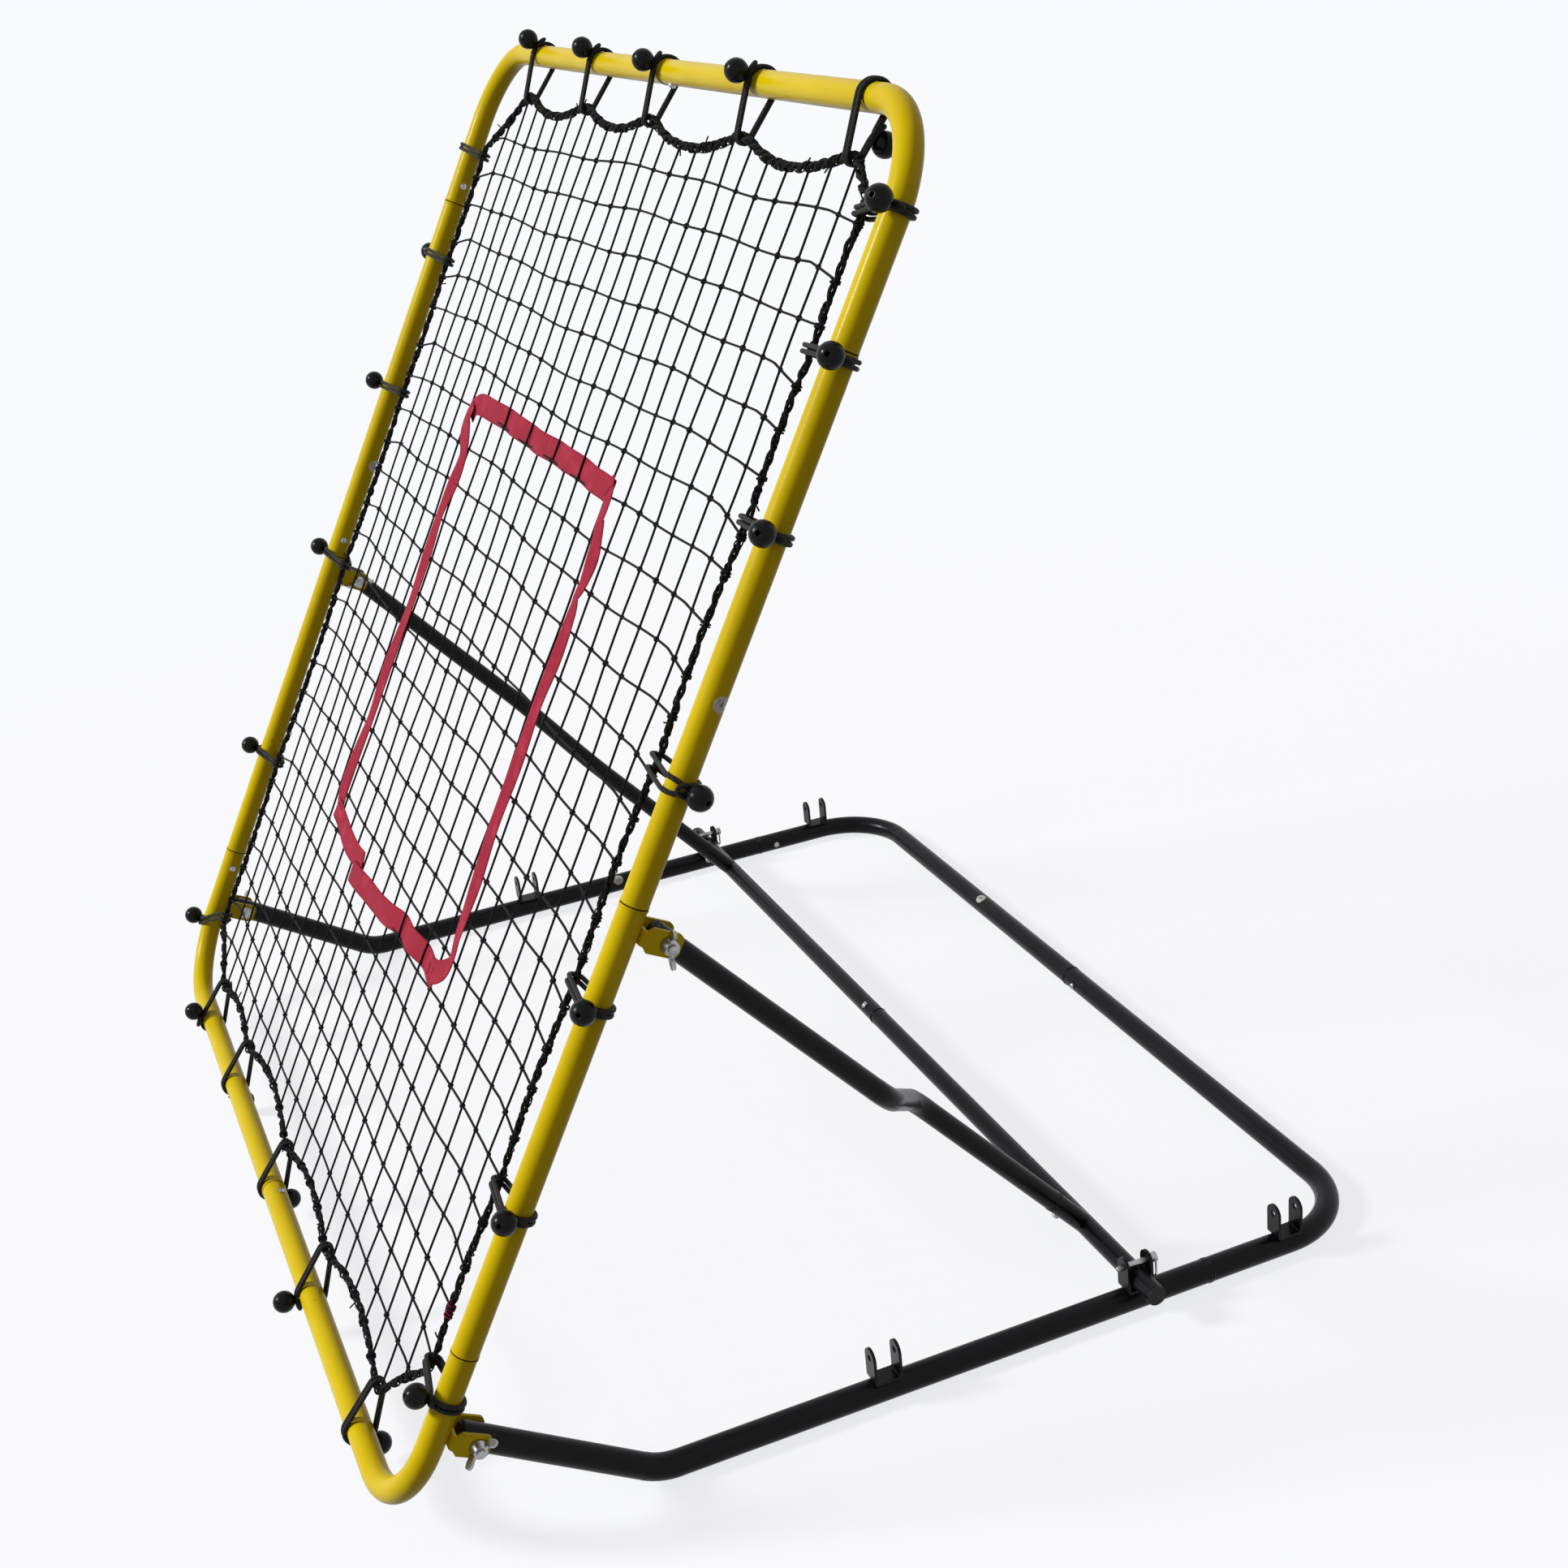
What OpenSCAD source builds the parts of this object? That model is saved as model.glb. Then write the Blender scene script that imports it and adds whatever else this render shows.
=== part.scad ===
// Pitch back rebounder: a sprung net in a tilted tube frame, carried by a
// ground frame and a hinged back stay whose cross bar drops into clevises.
// X is the width, -Y the front where the thrower stands, +Z up.

/* [Net frame] */
// Width between the centre lines of the side tubes
frame_w = 1200; // [900:10:1500]
// Height between the centre lines of the bottom and top bars
frame_h = 1277; // [1150:1:1500]
// Outer diameter of the frame and ground tubes
tube_d = 25; // [22:0.5:32]
// Wall of every tube
tube_wall = 1.5; // [1:0.1:2.5]
// Centre-line radius of the frame corners
corner_r = 90; // [60:5:140]
// Height of the lowest side seam over the bottom bar
seam_low = 181; // [150:1:240]
// Height of the middle side seam over the bottom bar
seam_mid = 605; // [595:1:660]
// Distance of the highest side seam below the top bar
seam_drop = 196; // [150:1:240]

/* [Ground frame] */
// Depth from the rear bar to the front bends
base_depth = 777; // [700:1:900]
// Rise of the front stubs from the ground
stub_angle = 33.4; // [20:0.1:45]
// Length of the front stubs from bend to pivot
stub_len = 192; // [160:1:240]
// Centre-line radius of the front bends
bend_r = 60; // [40:5:90]
// Distance of the side seams from the rear bar
base_seam = 190; // [170:1:230]
// Clevis distances from the rear bar: rear, middle and front
clevis_rear = 96; // [85:1:125]
// Middle clevis, the one in use
clevis_used = 272; // [262:1:300]
// Front clevis
clevis_front = 548; // [450:1:620]

/* [Pivots and brackets] */
// Distance of the pivots behind the frame tubes
bracket_reach = 36; // [32:1:50]
// Height of the lower pivot along the frame
pivot_low = 102; // [90:1:120]
// Height of the upper pivot along the frame
pivot_high = 582; // [540:1:584]
// Thickness of the bracket and clevis strap
strap_t = 3; // [2:0.5:4]
// Width of the bracket ears along the frame
ear_w = 23; // [20:1:30]
// Diameter of the pivot bolts
bolt_d = 8; // [6:1:10]
// Running clearance on a bolt's radius and beside each tube
fit = 0.3; // [0.2:0.05:0.5]

/* [Back stay] */
// Outer diameter of the stay tubes and the cross bar
stay_d = 21; // [18:0.5:24]
// Length from the upper pivot to the cross bar
stay_len = 666; // [640:1:690]
// Spread of the arms where they meet the cross bar
stay_spread = 1000; // [860:10:1040]
// Distance from the upper pivot to the middle of the joggle
joggle_at = 340; // [300:5:380]
// Bend angle of the joggle
joggle_angle = 45; // [30:5:60]
// Centre-line radius of the joggle bends
joggle_r = 50; // [35:5:60]
// Length of the stub welded to the cross bar
stub_socket = 52; // [45:1:70]
// How far the cross bar runs past the ground tubes
bar_overhang = 38; // [32:1:60]

/* [Clevises and lock pins] */
// Width of a clevis strap along the bar
clevis_w = 20; // [16:1:24]
// Gap left beside the cross bar in a clevis
clevis_play = 1; // [0.6:0.1:2]
// Diameter of a lock pin
pin_d = 6; // [5:0.5:8]
// Diameter of the pin holes
pin_hole_d = 7; // [6.2:0.1:9.2]
// How far the pin's point stands out of the ear
pin_tip = 7; // [4:1:12]
// Diameter of a pin's head
pin_head_d = 10; // [8.5:0.5:14]
// Length of a pin's head
pin_head_len = 8; // [6:0.5:12]
// Diameter of the bail wire
bail_wire_d = 2; // [1.5:0.1:2.4]
// Length of a hanging bail
bail_len = 20; // [14:1:22]
// Width of a bail between its legs
bail_w = 15; // [14:0.5:20]

/* [Snap buttons] */
// Diameter of a button
button_d = 8; // [6:0.5:9]
// How far a button stands out of its tube
button_rise = 3; // [2:0.2:4]
// Distance from a tube seam to its button
button_off = 23; // [18:1:28]
// Length of a spigot inside the next tube
spigot_len = 42; // [36:1:60]
// Play between a spigot and the tube around it
spigot_fit = 0.2; // [0.1:0.05:0.3]

/* [Net] */
// Diameter of the braided border rope
rope_d = 9; // [7:0.5:12]
// Distance of the border rope from the side tubes
inset_side = 55; // [48:1:70]
// Distance of the border rope from the top and bottom bars
inset_end = 49; // [44:1:60]
// Scallop depth of the top and bottom edges as a share of each span
scallop_end = 0.085; // [0.02:0.005:0.12]
// Scallop depth of the sides as a share of each span
scallop_side = 0.03; // [0.01:0.005:0.06]
// Columns of gaps in the net
net_columns = 15; // [8:1:16]
// Rows of gaps in the net
net_rows = 17; // [8:1:18]
// Width of a net cord
net_cord = 3; // [2:0.5:4]
// Thickness of the net
net_t = 2; // [1.5:0.5:3]

/* [Strike zone] */
// Width of the webbing
band_w = 25; // [20:1:40]
// Thickness of the webbing
band_t = 1.5; // [1:0.1:2.5]
// Width of the zone between webbing centre lines
zone_w = 482; // [380:1:560]
// Height of the zone between webbing centre lines
zone_h = 509; // [400:1:560]
// Sideways shift of the zone from the middle
zone_shift = 15; // [-30:1:30]
// Height of the zone's lower edge along the frame
zone_low = 376; // [330:1:420]
// Length of the webbing's loose overlap
band_tail = 130; // [80:5:160]

/* [Ball bungees] */
// Diameter of the shock cord
cord_d = 5; // [4:0.5:6]
// Distance between the two strands of a loop
strand_gap = 12; // [10:0.5:14]
// Diameter of a ball
ball_d = 22.6; // [20:0.2:28]
// Gap between a cord and what it goes round
cord_gap = 0.3; // [0.2:0.05:0.5]

/* [Hidden] */
$fn = 48;
tube_r = tube_d / 2;
stay_r = stay_d / 2;
cord_r = cord_d / 2;
rope_r = rope_d / 2;
ball_r = ball_d / 2;
pin_r = pin_d / 2;
bolt_r = bolt_d / 2;
half_w = frame_w / 2;
seam_high = frame_h - seam_drop;

// Side view of the ground frame, from the rear bar's centre: y back, z up
seat_z = tube_r + strap_t - 1.2;
bar_z = seat_z + fit + stay_r;
pin_z = bar_z + stay_r + pin_r + 0.7;
pivot_a = [-base_depth - stub_len * cos(stub_angle), stub_len * sin(stub_angle)];
bar_at = [-clevis_used, bar_z];

// The triangle of lower pivot, upper pivot and cross bar sets the frame's tilt
pivot_span = pivot_high - pivot_low;
run = norm(bar_at - pivot_a);
angle_to_bar = atan2(bar_at.y - pivot_a.y, bar_at.x - pivot_a.x);
apex = acos((run * run + pivot_span * pivot_span - stay_len * stay_len) / (2 * run * pivot_span));
frame_angle = angle_to_bar + apex;
along = [cos(frame_angle), sin(frame_angle)];
front = [-sin(frame_angle), cos(frame_angle)];
pivot_b = pivot_a + pivot_span * along;
foot = pivot_a - pivot_low * along + bracket_reach * front;
stay_angle = atan2(bar_at.y - pivot_b.y, bar_at.x - pivot_b.x);

// Bungees: [place along its tube, ball's angle round the tube, slide along the cord].
// Angle 0 is away from the net and 90 the front; the loops stay clear of the brackets.
TOP = [[-430, 80, 0], [-215, 78, 0], [-5, 85, 0], [250, 85, 0], [490, -100, 10]];
RIGHT = [[1190, 65, 0], [1080, -100, 8], [925, -100, 8], [705, -40, 0],
         [510, -100, 8], [315, -100, 8], [130, 100, 8]];
LEFT = [[1150, -50, 0], [1010, -50, 0], [840, 45, 0], [605, 45, 0], [330, 45, 0], [125, 45, 0]];
BOTTOM = [[-445, 60, 0], [-265, -60, 0], [-10, -70, 0], [210, -60, 0], [450, -60, 0]];

// Belt of one strand round its tube (radius belt_r) and the rope (radius loop_r)
belt_r = tube_r + cord_gap + cord_r;
loop_r = rope_r + cord_gap + cord_r;
ball_out = belt_r + sqrt(pow(ball_r + cord_r + cord_gap, 2) - pow(strand_gap / 2, 2));

// The footprint runs from the foremost bungee ball to the rear bar
ball_front = foot.x - ball_out * sin(60) * sin(frame_angle) - ball_out * cos(60) * cos(frame_angle) - ball_r;
y_mid = (ball_front + tube_r) / 2;

// Joints of the tubes: how far a tube runs past its pivot, and the stay's seam, button and tongue
stub_end = bolt_d * 1.5;
stay_x = stay_spread / 2;
stay_seam = stay_len - stub_socket;
stay_button = stay_seam + 14;
stay_tongue = stub_socket - stay_r - 4;

// Hardware: a bolt's head, a wing nut's height and the pin's head off the clevis's middle
head_t = 1.5;
nut_h = 9;
pin_seat = stay_r + clevis_play + strap_t + 0.4;

// Plug: its cap and the part inside the tube; spring leaf of a snap button
plug_cap = 1.5;
plug_depth = 6;
leaf_w = 6;
leaf_t = 0.8;
// Root ring that a reduced end grows from
root_len = 6;

// A slanted bend is this much thicker than its straights, whose ends seat inside it
swell = 0.3;
seat = 0.3;

// ---- Placing ----

// The whole object stands with its footprint's centre at the origin
module grounded() translate([0, -y_mid, tube_r]) children();

// Net frame plane: x across, y up along the frame, z to the front
module on_frame() grounded() translate([0, foot.x, foot.y]) rotate([frame_angle, 0, 0]) children();

// Back stay: y runs from the upper pivot to the cross bar
module on_stay() grounded() translate([0, pivot_b.x, pivot_b.y]) rotate([stay_angle, 0, 0]) children();

// side is -1 for left and 1 for right
module on_side(side) mirror([side < 0 ? 1 : 0, 0, 0]) children();

// Maps a side view's XY plane to Y (back) and Z (up), and its Z to X
module side_view() rotate([90, 0, 90]) children();

// ---- Tube work, in a plane: p is a point and a an angle in XY ----

module along_line(p, a) translate([p.x, p.y, 0]) rotate([0, 0, a]) rotate([0, 90, 0]) children();

// Straight tube from p; its ends run into swollen bends by seat and seat2
module pipe_at(p, a, d, len, seat = 0, seat2 = 0) along_line(p, a) difference() {
    translate([0, 0, -seat]) cylinder(d = d, h = len + seat + seat2);
    translate([0, 0, -1]) cylinder(d = d - 2 * tube_wall, h = len + 2);
}

// Bend round the centre c, from angle a through the given turn; swell thickens its wall
module bend_at(c, a, d, r, turn, swell = 0) translate([c.x, c.y, 0]) rotate([0, 0, a])
    rotate_extrude(angle = turn) translate([r, 0]) difference() {
        circle(d = d + swell);
        circle(d = d - 2 * tube_wall - swell);
    }

// Reduced end from p that slides into the next tube, with the thick ring it grows from
module spigot_at(p, a, d, len = spigot_len) {
    outer = d - 2 * tube_wall - 2 * spigot_fit;
    along_line(p, a) difference() {
        union() {
            translate([0, 0, -root_len]) cylinder(d = d, h = root_len);
            cylinder(d = outer, h = len);
        }
        translate([0, 0, -root_len - 1]) cylinder(d = outer - 2 * tube_wall, h = len + root_len + 2);
    }
}

// Hole for a snap button, facing a
module button_hole(p, a, d) along_line(p, a) cylinder(d = button_d + 2 * fit, h = d);

// Snap button along +Z from the tube's centre, its spring leaf along +X
module snap_button(d) {
    bore_r = d / 2 - 2 * tube_wall - spigot_fit;
    flange_r = button_d / 2 + 0.8;
    flange_z = sqrt(pow(bore_r - fit, 2) - flange_r * flange_r);
    dome_r = button_d * 0.7;
    color("silver") union() {
        intersection() {
            translate([0, 0, flange_z - 1]) cylinder(d = button_d, h = d / 2 + button_rise - flange_z + 1);
            translate([0, 0, d / 2 + button_rise - dome_r]) cylinder(r = dome_r, h = dome_r);
            translate([0, 0, d / 2 + button_rise - dome_r]) sphere(r = dome_r);
        }
        translate([0, 0, flange_z - 1]) cylinder(d = button_d, h = d / 2 - flange_z + 1);
        translate([0, 0, flange_z - 1]) cylinder(r = flange_r, h = 1);
        translate([0, -leaf_w / 2, flange_z - 1]) cube([button_off - 2, leaf_w, leaf_t]);
    }
}

// Snap button in a plane, facing a; its leaf runs a quarter turn on, or back where flip is set
module button_at(p, a, d, flip = false) along_line(p, a) rotate([0, 0, flip ? -90 : 90]) snap_button(d);

// Black end plug of a tube, at p and facing a
module plug_at(p, a, d) color([0.05, 0.05, 0.05]) along_line(p, a) union() {
    cylinder(d = d - 2 * fit, h = plug_cap);
    translate([0, 0, -plug_depth]) cylinder(d = d - 2 * tube_wall - 0.4, h = plug_depth);
}

// ---- Bent strap ----

// U section: half gap g, first strap face at y0 and ends at y1
module strap_section(g, y0, y1) {
    inner = 1.5;
    translate([-g + inner, y0]) square([2 * (g - inner), strap_t]);
    for (s = [-1, 1]) translate([s * (g - inner), y0 + strap_t + inner]) intersection() {
        difference() {
            circle(r = inner + strap_t);
            circle(r = inner);
        }
        translate([s < 0 ? -inner - strap_t : 0, -inner - strap_t]) square(inner + strap_t);
    }
    for (s = [-1, 1]) translate([s > 0 ? g : -g - strap_t, y0 + strap_t + inner])
        square([strap_t, y1 - y0 - strap_t - inner]);
}

// Clevis standing across a ground tube at the distance back, right side
module clevis(back) {
    g = stay_r + clevis_play;
    web_z = seat_z - strap_t;
    color([0.08, 0.08, 0.09]) grounded() translate([half_w, -back, 0]) difference() {
        intersection() {
            translate([-clevis_w / 2, 0, 0]) side_view() linear_extrude(clevis_w)
                strap_section(g, web_z, pin_z + clevis_w / 2);
            translate([0, g + 2 * strap_t, 0]) rotate([90, 0, 0]) linear_extrude(2 * g + 4 * strap_t) {
                translate([-clevis_w / 2, 0]) square([clevis_w, pin_z]);
                translate([0, pin_z]) circle(d = clevis_w);
            }
        }
        translate([0, 0, pin_z]) rotate([90, 0, 0]) cylinder(d = pin_hole_d, h = 4 * stay_d, center = true);
        rotate([90, 0, 0]) cylinder(r = tube_r + 0.1, h = 4 * tube_d, center = true);
    }
}

// Bracket behind a side tube at the height v, round a tube of diameter d, right side
module bracket(v, d) {
    g = d / 2 + fit;
    web = tube_r - 1.2;
    tip = bracket_reach + bolt_d * 1.5;
    round_r = ear_w * 0.3;
    neck = ear_w / 2 - 4.5;
    color("gold") on_frame() translate([half_w, v, 0]) difference() {
        intersection() {
            translate([0, -ear_w / 2, 0]) rotate([-90, 0, 0]) linear_extrude(ear_w)
                strap_section(g, web, tip);
            translate([-g - 2 * strap_t, 0, 0]) rotate([0, 90, 0]) linear_extrude(2 * g + 4 * strap_t) {
                polygon([[web, -neck], [web + strap_t, -neck], [web + strap_t + 4.5, -ear_w / 2],
                         [tip - round_r, -ear_w / 2], [tip - round_r, ear_w / 2],
                         [web + strap_t + 4.5, ear_w / 2], [web + strap_t, neck], [web, neck]]);
                translate([tip - round_r, round_r - ear_w / 2]) square([round_r, ear_w - 2 * round_r]);
                for (s = [-1, 1]) translate([tip - round_r, s * (ear_w / 2 - round_r)]) circle(r = round_r);
            }
        }
        translate([-2 * tube_d, 0, -bracket_reach]) rotate([0, 90, 0])
            cylinder(d = bolt_d + 2 * fit, h = 4 * tube_d);
        rotate([90, 0, 0]) cylinder(r = tube_r + 0.1, h = 4 * tube_d, center = true);
    }
}

// Places children on a pivot's axis, +X outward; inner turns them to face the net
module on_pivot(v, inner) on_frame() translate([half_w, v, -bracket_reach]) mirror([inner ? 1 : 0, 0, 0])
    rotate([0, 90, 0]) children();

// Pivot bolt with a domed head, for a bracket round a tube of diameter d
module pivot_bolt(d) {
    head_z = d / 2 + fit + strap_t + 0.1;
    color("silver") {
        translate([0, 0, -head_z - 1]) cylinder(r = bolt_r, h = 2 * head_z + nut_h + bolt_d / 2);
        translate([0, 0, -head_z - head_t]) cylinder(d = bolt_d * 2, h = head_t);
        translate([0, 0, -head_z - head_t]) intersection() {
            translate([0, 0, bolt_d - 4]) sphere(r = bolt_d);
            translate([0, 0, -4]) cylinder(d = bolt_d * 1.7, h = 4);
        }
    }
}

// Wing nut: a tapered hub with two swept wings
module wing_nut(d) {
    nut_z = d / 2 + fit + strap_t + 0.4;
    color("silver") translate([0, 0, nut_z]) difference() {
        union() {
            rotate_extrude() polygon([[0, 0], [bolt_d, 0], [bolt_d, 2], [bolt_d * 0.78, nut_h], [0, nut_h]]);
            for (turn = [0, 180]) rotate([0, 0, turn]) translate([0, 1.5, 0]) rotate([90, 0, 0])
                linear_extrude(3) {
                    polygon([[3, 0.6], [8, 0.6], [15, 6], [17.5, 10], [15, 14.5], [11, 13],
                             [8, nut_h], [3, nut_h]]);
                    translate([14, 11]) circle(r = 3.6);
                }
        }
        translate([0, 0, -1]) cylinder(r = bolt_r + 0.15, h = nut_h + 8);
    }
}

// ---- Net frame tubes, drawn for the right side in the frame plane ----

// Corner with half a bar and one leg; up is 1 for the top, tongue gives the bar its spigot
module frame_corner(up, seam, tongue) color("gold") on_frame() {
    leg = up > 0 ? frame_h - corner_r - seam : seam - corner_r;
    translate([0, up > 0 ? frame_h : 0, 0]) mirror([0, up > 0 ? 0 : 1, 0]) difference() {
        union() {
            pipe_at([0, 0], 0, tube_d, half_w - corner_r);
            bend_at([half_w - corner_r, -corner_r], 0, tube_d, corner_r, 90);
            pipe_at([half_w, -corner_r], -90, tube_d, leg);
            if (tongue) spigot_at([0, 0], 180, tube_d);
        }
        button_hole([tongue ? -button_off : button_off, 0], -90, tube_d);
        button_hole([half_w, -corner_r - leg + button_off], 180, tube_d);
    }
}

// Side tube between two seams; its top slides into the tube above
module frame_side(from, to, tongue_below) color("gold") on_frame() difference() {
    union() {
        pipe_at([half_w, from], 90, tube_d, to - from);
        spigot_at([half_w, to], 90, tube_d);
        if (tongue_below) spigot_at([half_w, from], -90, tube_d);
    }
    button_hole([half_w, to + button_off], 180, tube_d);
    button_hole([half_w, from + (tongue_below ? -button_off : button_off)], 180, tube_d);
}

// ---- Ground frame, drawn for the right side ----

// Rear corner; tongue gives the rear bar its spigot
module base_rear(tongue) color([0.08, 0.08, 0.09]) grounded() difference() {
    union() {
        pipe_at([0, 0], 0, tube_d, half_w - corner_r);
        bend_at([half_w - corner_r, -corner_r], 0, tube_d, corner_r, 90);
        pipe_at([half_w, -corner_r], -90, tube_d, base_seam - corner_r);
        if (tongue) spigot_at([0, 0], 180, tube_d);
    }
    button_hole([tongue ? -button_off : button_off, 0], -90, tube_d);
    button_hole([half_w, button_off - base_seam], 180, tube_d);
}

// Front side tube with its rising stub; the pivot hole is near the stub's end
module base_front() color([0.08, 0.08, 0.09]) grounded() {
    setback = bend_r * tan(stub_angle / 2);
    centre = [setback - base_depth, bend_r];
    rise = centre - bend_r * [sin(stub_angle), cos(stub_angle)];
    translate([half_w, 0, 0]) difference() {
        side_view() {
            spigot_at([-base_seam, 0], 0, tube_d);
            pipe_at([setback - base_depth, 0], 0, tube_d, base_depth - setback - base_seam, seat);
            bend_at(centre, 270 - stub_angle, tube_d, bend_r, stub_angle, swell);
            pipe_at(rise, 180 - stub_angle, tube_d, stub_len - setback + stub_end, seat);
        }
        translate([0, button_off - base_seam, 0]) button_hole([0, 0], 180, tube_d);
        translate([-tube_d, pivot_a.x, pivot_a.y]) rotate([0, 90, 0])
            cylinder(d = bolt_d + 2 * fit, h = 2 * tube_d);
    }
}

// ---- Back stay, drawn for the right side in the stay plane ----

module stay_arm() color([0.08, 0.08, 0.09]) on_stay() {
    shift = half_w - stay_x;
    middle = (shift - 2 * joggle_r * (1 - cos(joggle_angle))) / sin(joggle_angle);
    reach = 2 * joggle_r * sin(joggle_angle) + middle * cos(joggle_angle);
    t0 = joggle_at - reach / 2;
    t1 = joggle_at + reach / 2;
    first = [half_w - joggle_r * (1 - cos(joggle_angle)), t0 + joggle_r * sin(joggle_angle)];
    difference() {
        union() {
            pipe_at([half_w, -stub_end], 90, stay_d, t0 + stub_end, 0, seat);
            bend_at([half_w - joggle_r, t0], 0, stay_d, joggle_r, joggle_angle, swell);
            pipe_at(first, 90 + joggle_angle, stay_d, middle, seat, seat);
            bend_at([stay_x + joggle_r, t1], 180, stay_d, joggle_r, joggle_angle, swell);
            pipe_at([stay_x, t1], 90, stay_d, stay_seam - t1, seat);
            spigot_at([stay_x, stay_seam], 90, stay_d, stay_tongue);
        }
        translate([half_w - stay_d, 0, 0]) rotate([0, 90, 0]) cylinder(d = bolt_d + 2 * fit, h = 2 * stay_d);
        translate([stay_x, stay_button, 0]) rotate([180, 0, 0]) cylinder(d = button_d + 2 * fit, h = stay_d);
    }
}

// Half of the cross bar with its welded stub; tongue gives it the centre spigot
module cross_half(tongue) color([0.08, 0.08, 0.09]) on_stay() translate([0, stay_len, 0]) difference() {
    union() {
        difference() {
            union() {
                along_line([0, 0], 0) cylinder(d = stay_d, h = half_w + bar_overhang);
                along_line([stay_x, -stub_socket], 90) cylinder(d = stay_d, h = stub_socket);
            }
            along_line([-1, 0], 0) cylinder(d = stay_d - 2 * tube_wall, h = half_w + bar_overhang + 2);
            along_line([stay_x, -stub_socket - 1], 90)
                cylinder(d = stay_d - 2 * tube_wall, h = stub_socket + 1 - stay_r);
        }
        if (tongue) spigot_at([0, 0], 180, stay_d);
    }
    rotate([135 - stay_angle, 0, 0]) translate([tongue ? -button_off : button_off, 0, 0])
        rotate([-90, 0, 0]) cylinder(d = button_d + 2 * fit, h = stay_d);
    translate([stay_x, stay_button - stay_len, 0]) rotate([180, 0, 0])
        cylinder(d = button_d + 2 * fit, h = stay_d);
}

// ---- Lock pin and its wire bail, right side ----

module on_pin() grounded() translate([half_w, -clevis_used, pin_z]) children();

module lock_pin() color("silver") on_pin() difference() {
    union() {
        translate([0, pin_seat, 0]) rotate([90, 0, 0])
            cylinder(r = pin_r, h = 2 * pin_seat + pin_tip - pin_r);
        translate([0, pin_r - pin_seat - pin_tip, 0]) sphere(r = pin_r);
        translate([0, pin_seat + pin_head_len, 0]) rotate([90, 0, 0])
            cylinder(d = pin_head_d, h = pin_head_len);
    }
    translate([-pin_head_d, pin_seat + pin_head_len / 2, 0]) rotate([0, 90, 0])
        cylinder(d = bail_wire_d + 2 * fit, h = 2 * pin_head_d);
}

module pin_bail() color("silver") on_pin() translate([0, pin_seat + pin_head_len / 2, 0]) {
    leg = bail_len - bail_w / 2;
    translate([-bail_w / 2, 0, 0]) rotate([0, 90, 0]) cylinder(d = bail_wire_d, h = bail_w);
    for (s = [-1, 1]) translate([s * bail_w / 2, 0, 0]) {
        sphere(d = bail_wire_d);
        translate([0, 0, -leg]) cylinder(d = bail_wire_d, h = leg);
    }
    translate([0, 0, -leg]) rotate([90, 0, 0]) rotate([0, 0, 180]) rotate_extrude(angle = 180)
        translate([bail_w / 2, 0]) circle(d = bail_wire_d);
}

// ---- Net ----

rope_flat = strand_gap / 2 + cord_d;
// Rope anchors clockwise from the top left: [point, direction, is on a bar]
anchors = concat(
    [for (b = TOP) [[b[0], frame_h - inset_end], [1, 0], true]],
    [for (b = RIGHT) [[half_w - inset_side, b[0]], [0, -1], false]],
    [for (i = [len(BOTTOM) - 1 : -1 : 0]) [[BOTTOM[i][0], inset_end], [-1, 0], true]],
    [for (i = [len(LEFT) - 1 : -1 : 0]) [[inset_side - half_w, LEFT[i][0]], [0, 1], false]]);
function right_of(d) = [d.y, -d.x];
// Scalloped stretch between two anchors, a parabola that bows into the net
function scallop(a, b, share) = [for (k = [1 : 4]) let (t = k / 5)
    a + (b - a) * t + 4 * t * (1 - t) * share * right_of(b - a)];
rope_path = [for (i = [0 : len(anchors) - 1]) let (
        here = anchors[i], next = anchors[(i + 1) % len(anchors)],
        share = here[2] && next[2] ? scallop_end : scallop_side)
    each concat([here[0] - rope_flat * here[1]], [here[0] + rope_flat * here[1]],
        scallop(here[0] + rope_flat * here[1], next[0] - rope_flat * next[1], share))];
rope_count = len(rope_path);
function unit(v) = v / norm(v);
// Mitre of the closed path at its point i, towards the inside of the net
function mitre(i) = let (
        before = unit(rope_path[i] - rope_path[(i + rope_count - 1) % rope_count]),
        after = unit(rope_path[(i + 1) % rope_count] - rope_path[i]),
        n = right_of(unit(before + after)))
    n / (n * right_of(before));

module border_rope() color([0.1, 0.1, 0.1]) on_frame() {
    sides = 8;
    polyhedron(
        points = [for (i = [0 : rope_count - 1]) let (m = mitre(i)) for (k = [0 : sides - 1])
            let (q = rope_path[i] + rope_r * cos(k * 360 / sides) * m)
            [q.x, q.y, rope_r * sin(k * 360 / sides)]],
        faces = [for (i = [0 : rope_count - 1]) for (k = [0 : sides - 1]) let (
                a = i * sides + k, b = i * sides + (k + 1) % sides,
                j = (i + 1) % rope_count, c = j * sides + (k + 1) % sides, d = j * sides + k)
            each [[a, b, c], [a, c, d]]]);
}

net_edge = [for (i = [0 : rope_count - 1]) rope_path[i] + (rope_r + cord_gap) * mitre(i)];
net_w = frame_w - 2 * inset_side;
net_h = frame_h - 2 * inset_end;

// Room round a bungee's loop, which comes through the net beside the border rope
loop_room = loop_r + cord_r + 2 * cord_gap;
loop_width = strand_gap + cord_d + 4 * cord_gap;

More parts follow.
